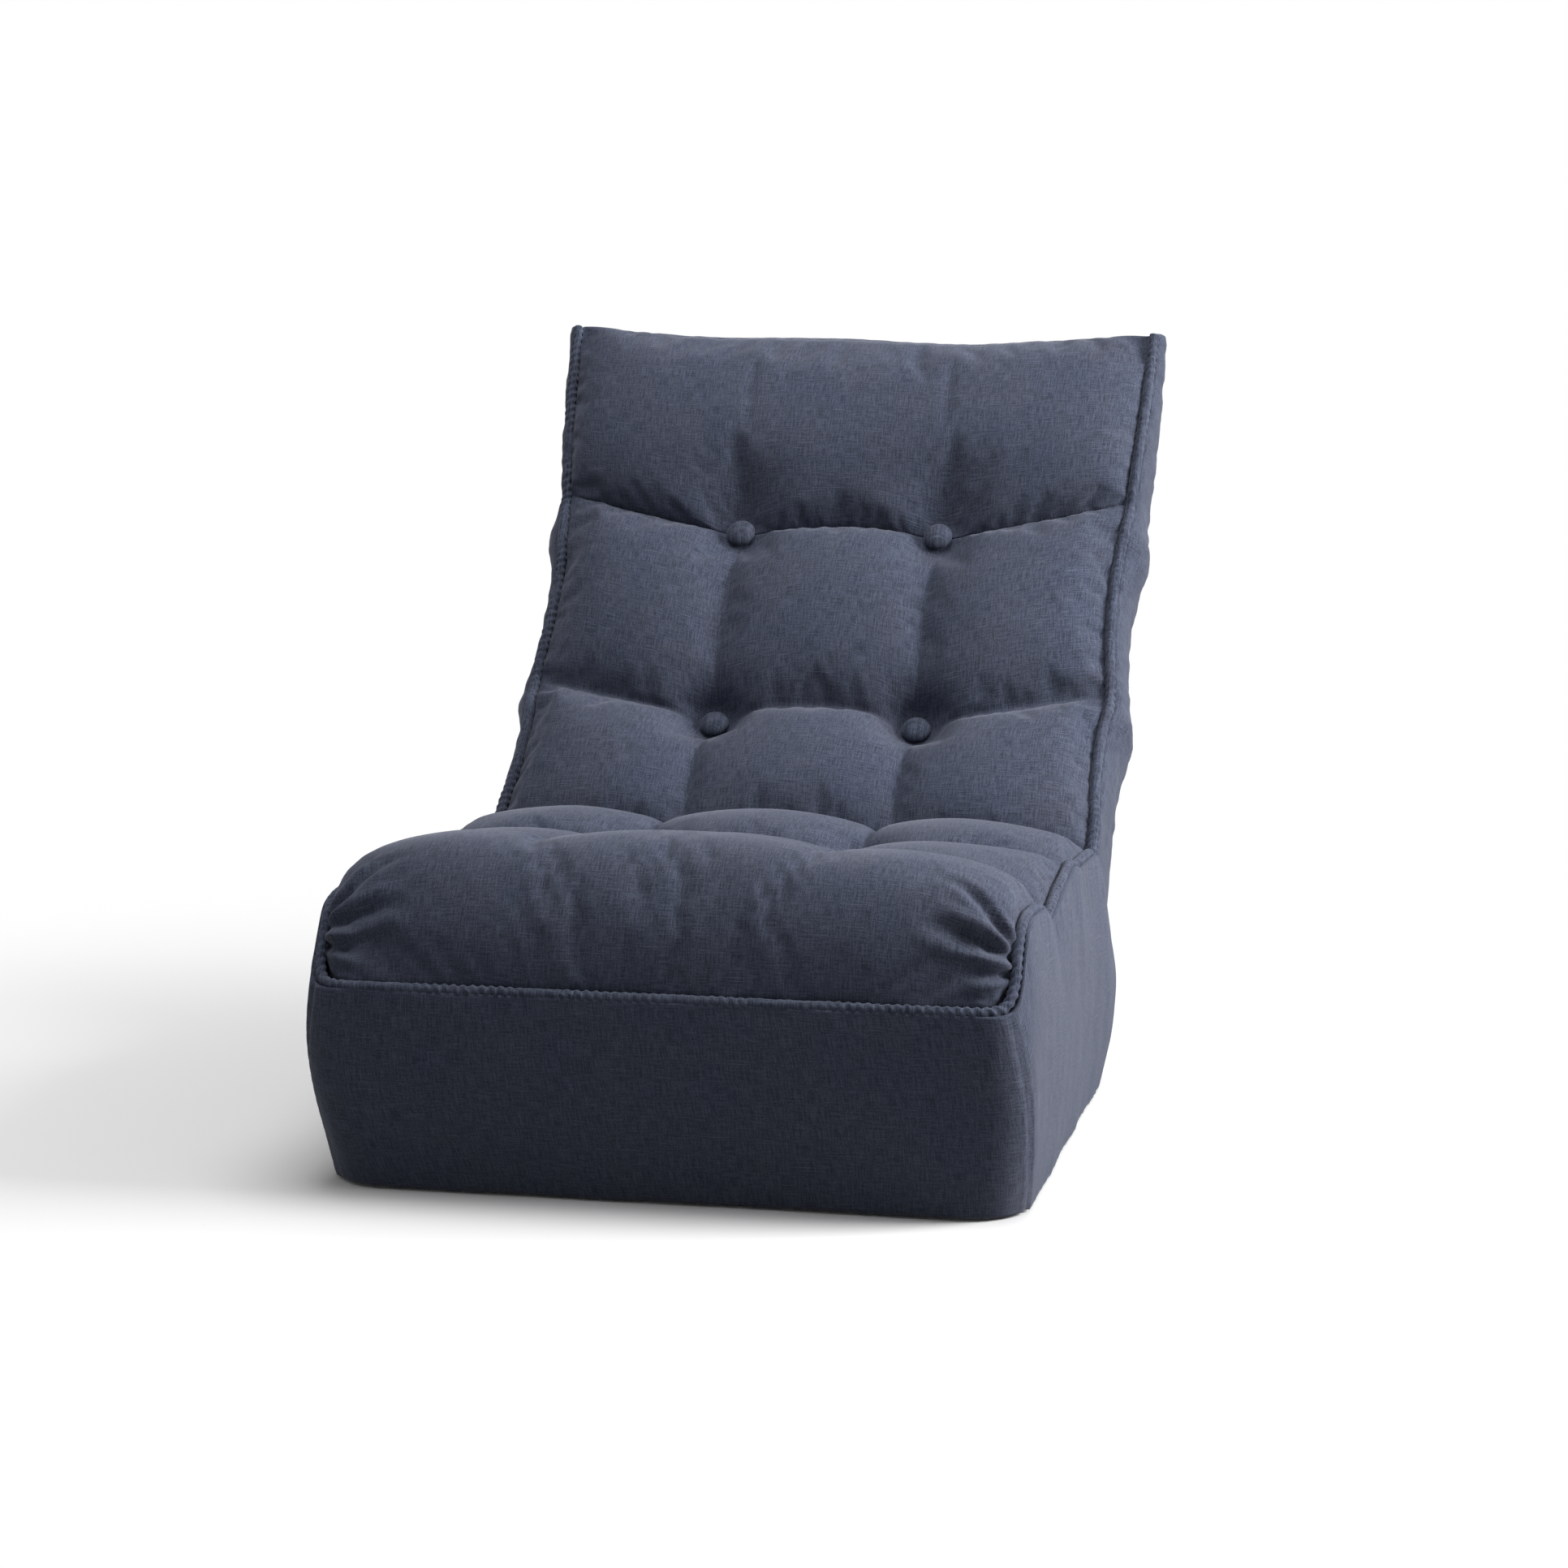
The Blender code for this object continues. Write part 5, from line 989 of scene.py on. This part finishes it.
def make_rear():
    high = WHOLE_LENGTH - 0.001
    rows = []
    for distance in np.linspace(0.0, high, 150):
        front = welt_depth(distance) - 0.0005
        back = rear_depth(distance)
        corner = min(0.02, (front - back) * 0.4)
        flat = WELT_X + 0.0035 - welt_inset(distance)
        swell = gusset_swell(distance)
        outline = [(flat - 0.01, front - 0.006), (flat - 0.004, front - 0.0038)]
        for i in range(19):
            depth = front + (back + corner - front) * i / 18
            rise = (front - depth) / max(front - back, 0.001)
            outline.append((flat + swell * sin(pi * rise ** 0.75), depth))
        end = outline[-1][0]
        outline += [(end - corner + corner * cos(a), back + corner - corner * sin(a))
                    for a in (radians(90 * k / 6) for k in range(1, 7))]
        half = outline + [((end - corner) * share, back) for share in np.linspace(0.97, 0.03, 36)]
        full = half + [(-x, depth) for x, depth in reversed(half)]
        row = []
        for x, depth in full:
            fitted = distance
            if distance < HUB_EASE:
                hub = -sqrt(max(HUB ** 2 - depth ** 2, 0.0))
                fitted = hub + (HUB_EASE - hub) * distance / HUB_EASE
            row.append((x, *place(whole_line, raised(x, fitted), depth)))
        rows.append(row)
        last = full
    middle = (welt_depth(high) + rear_depth(high)) / 2
    for share in (0.35, 0.7, 1.0):
        row = []
        for x, depth in last:
            closed = x - copysign(TOP_CLOSE * share, x) * min(abs(x) / 0.3, 1.0)
            dropped = raised(x, high - TOP_DROP * share)
            row.append((closed, *place(whole_line, dropped, depth + (middle - depth) * share)))
        rows.append(row)
    obj = grid("rear_panels", rows)
    co = coordinates(obj)
    distance = along_back(co)
    low = wobble(co, (0.13, 0.13, 0.13), 6)
    on_gusset = np.clip((np.abs(co[:, 0]) - 0.285) / 0.02, 0.0, 1.0)
    creases = wobble(co, (0.05, 0.03, 0.018), 7)
    clear = np.clip((distance - 0.03) / 0.05, 0.0, 1.0) * np.clip((WHOLE_LENGTH - distance) / 0.02, 0.0, 1.0)
    push(obj, clear * (0.0015 * low + 0.0018 * on_gusset * creases))
    thicken(obj, 1)
    return obj

# Piping

def piping(name, points, radius=WELT_RADIUS, seed=1):
    """A covered cord along the points, smooth in places and twisted like a rope in others."""
    points = np.array(points, float)
    even, path = spaced(points, int(run_length(points)[-1] / CORD_STEP) + 1)
    for _ in range(12):
        path[1:-1] = (path[:-2] + 2 * path[1:-1] + path[2:]) / 4
    rows = []
    side = Vector((0.0, 0.0, 1.0))
    for j in range(len(path)):
        here = Vector(path[j])
        ahead = Vector(path[min(j + 1, len(path) - 1)] - path[max(j - 1, 0)]).normalized()
        across = ahead.cross(side).normalized()
        side = across.cross(ahead).normalized()
        twisted = min(max(0.55 + 1.6 * noise.noise(here / 0.055 + Vector((seed, 0, 0))), 0.2), 1.0)
        sway = 0.0006 * noise.noise(here / 0.016 + Vector((0, seed, 0)))
        row = []
        for k in range(CORD_SIDES):
            turn = 2 * pi * k / CORD_SIDES
            ridge = sin(turn * 2 + even[j] * 2 * pi / TWIST_PITCH)
            swell = 1 + 0.17 * twisted * ridge + 0.06 * noise.noise(here / 0.012)
            reach = radius * swell
            offset = across * (cos(turn) * reach + sway) + side * sin(turn) * reach
            row.append(tuple(here + offset))
        rows.append(row)
    obj = grid(name, rows, wrap=True)
    close_ends(obj)
    return obj

def seat_piping_points():
    front = BASE_FRONT_Y - FRONT_BULGE + 0.0035
    side = [(WELT_X - 0.004 * max(1 - (SEAT_REAR - y) / 0.02, 0.0), y)
            for y in np.arange(SEAT_REAR - 0.004, front + CORNER + 0.002, -0.004)]
    side += [(WELT_X - CORNER + CORNER * cos(a), front + CORNER - CORNER * sin(a))
             for a in np.radians(np.linspace(0, 90, 14))]
    straight = [(x, front) for x in np.arange(WELT_X - CORNER - 0.005, 0, -0.005)]
    right = side + straight
    full = right + [(-x, y) for x, y in reversed(right)]
    return [(x, y, seat_welt_height(y)) for x, y in full]

def back_piping_points(side):
    points = []
    for degrees in np.linspace(62, 6, 10):
        turn = radians(degrees)
        radius = welt_depth(0.0) + 0.004
        points.append((side * (WELT_X - welt_inset(0.0)),
                       *place(back_line, -radius * sin(turn), radius * cos(turn))))
    for distance in np.linspace(0.0, WHOLE_LENGTH - 0.001, 150):
        x = side * (WELT_X - welt_inset(distance))
        points.append((x, *place(whole_line, raised(x, distance), welt_depth(distance) + 0.0022)))
    return points

# Buttons

def make_button(name, node_name):
    """A fabric-covered button in the CAD button's place, domed, with a soft rolled rim."""
    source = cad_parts[node_name]
    co = np.array([v.co for v in source.data.vertices])
    low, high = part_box(node_name)
    middle = (low + high) / 2
    if node_name.startswith("seat"):
        angle = 0.0
    else:
        angle = LOWER_ANGLE if "lower" in node_name else UPPER_ANGLE
    axis = Vector((0.0, -sin(angle), cos(angle)))
    heights = co @ np.array(axis)
    base = middle + axis * (heights.min() - middle.dot(axis))
    profile = [(0.0001, 0.0118), (0.003, 0.0117), (0.006, 0.0113), (0.009, 0.0105), (0.0115, 0.0093),
               (0.0135, 0.0077), (0.0147, 0.006), (0.015, 0.0047), (0.0145, 0.0036), (0.013, 0.003),
               (0.006, 0.003), (0.0045, 0.0028), (0.0045, 0.0001), (0.0001, 0.0)]
    across = Vector((1.0, 0.0, 0.0))
    up = axis.cross(across)
    rows = []
    for radius, height in profile:
        row = []
        for k in range(48):
            turn = 2 * pi * k / 48
            ripple = 1 + (0.01 * sin(11 * turn) if 0.0125 < radius < 0.0149 else 0.0)
            offset = (across * cos(turn) + up * sin(turn)) * radius * ripple
            row.append(tuple(base + offset + axis * height))
        rows.append(row)
    obj = grid(name, rows, wrap=True)
    close_ends(obj, merge=0.0003)
    for polygon in obj.data.polygons:
        polygon.use_smooth = True
    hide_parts(node_name)
    return obj

# Put the pieces together

seat = make_seat()
finish_piece(seat, CLOTH, "seat")
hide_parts("seat_cushion")

back = make_back()
finish_piece(back, CLOTH, "back")
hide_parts("back_cushion")

head = make_head()
finish_piece(head, CLOTH)
place(back_line, BACK_LENGTH - 0.045, 0.04)
place(head_line, 0.040, 0.04)
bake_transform(head)
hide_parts("headrest_cushion")

base = make_base()
finish_piece(base, CLOTH, "seat")
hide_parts("base_cover", "base_foam")

deck = make_deck()
finish_piece(deck, CLOTH, "seat")

rear = make_rear()
finish_piece(rear, CLOTH)
place(back_line, BACK_LENGTH - 0.045, 0.0)
place(head_line, 0.045, 0.0)
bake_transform(rear)
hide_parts("back_cover", "back_pad", "headrest_cover", "headrest_pad")

seat_piping = piping("seat_piping", seat_piping_points(), seed=3)
finish_piece(seat_piping, TRIM, "seat")
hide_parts("seat_welt")
for side, label in ((-1, "right"), (1, "left")):
    cord = piping(f"back_piping_{label}", back_piping_points(side), BACK_WELT_RADIUS, seed=7 + side)
    finish_piece(cord, TRIM)
    place(back_line, BACK_LENGTH - 0.045, 0.04)
    place(head_line, 0.040, 0.04)
    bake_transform(cord)
    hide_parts(f"back_welt_{label}", f"headrest_welt_{label}")

for node_name in sorted(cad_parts):
    if "_button_" in node_name:
        knob = make_button(node_name.replace("button", "covered_button"), node_name)
        finish_piece(knob, TRIM, "seat" if node_name.startswith("seat") else "back")

under = add_object("underside_cloth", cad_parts["bottom_cloth"].data.copy())
finish_piece(under, BLACK, "seat")
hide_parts("bottom_cloth")

for node_name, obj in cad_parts.items():
    if obj.hide_render:
        continue
    steel = any(word in node_name for word in ("tube", "frame", "cross_bar"))
    obj.data.materials.clear()
    obj.data.materials.append(PAINT if steel else ZINC)

# Floor, light and camera

def shown_to_camera(tree):
    """1 for rays that show a background: from the camera, in gloss or through glass."""
    path = node(tree, "LightPath")
    seen = math_node(tree, "MAXIMUM", path.outputs["Is Camera Ray"], path.outputs["Is Glossy Ray"])
    return math_node(tree, "MAXIMUM", seen, path.outputs["Is Transmission Ray"])

def floor_material():
    """A pale floor whose far reaches fade into the background."""
    material, tree, shader = new_material("pale_floor")
    shader.inputs["Roughness"].default_value = 0.8
    colour = mix_colour(tree, shown_to_camera(tree), (0.2, 0.195, 0.19), (0.9, 0.9, 0.9))
    tree.links.new(colour, shader.inputs["Base Color"])
    source = node(tree, "TexCoord").outputs["Object"]
    length = node(tree, "VectorMath", operation="LENGTH")
    tree.links.new(source, length.inputs[0])
    far = ramp(tree, length.outputs["Value"], 0.3, 1.55)
    far.node.interpolation_type = "SMOOTHERSTEP"
    fade = math_node(tree, "MULTIPLY", far, shown_to_camera(tree))
    glow = node(tree, "Emission", {"Color": WHITE, "Strength": 1.0})
    mix_shaders(tree, fade, shader, glow, "Material Output")
    return material

bpy.ops.mesh.primitive_plane_add(size=60.0, location=(0, 0, 0))
floor = bpy.context.active_object
floor.name = "floor"
floor.data.materials.append(floor_material())

world = bpy.data.worlds.new("studio")
world.use_nodes = True
tree = world.node_tree
lit = node(tree, "Background", {"Color": WHITE, "Strength": 0.29})
seen = node(tree, "Background", {"Color": WHITE, "Strength": 1.0})
mix_shaders(tree, shown_to_camera(tree), lit, seen, "World Output")
SCENE.world = world

def area_light(name, location, target, size, power):
    light = bpy.data.lights.new(name, "AREA")
    light.energy = power
    light.size = size
    obj = add_object(name, light)
    obj.location = location
    aim = Vector(target) - Vector(location)
    obj.rotation_euler = aim.to_track_quat("-Z", "Y").to_euler()

area_light("window", (2.7, 0.2, 1.5), (0.0, 0.1, 0.3), 1.3, 135)
area_light("overhead", (0.2, -0.2, 3.0), (0.0, 0.1, 0.3), 1.8, 52)

camera = bpy.data.cameras.new("camera")
camera.lens = 86.1
camera.sensor_width = 36.0
view = add_object("camera", camera)
view.location = (0.761, -3.369, 0.867)
view.rotation_euler = (radians(90 - 8.82), 0.0, radians(11.94))
SCENE.camera = view
SCENE.view_settings.view_transform = "Standard"
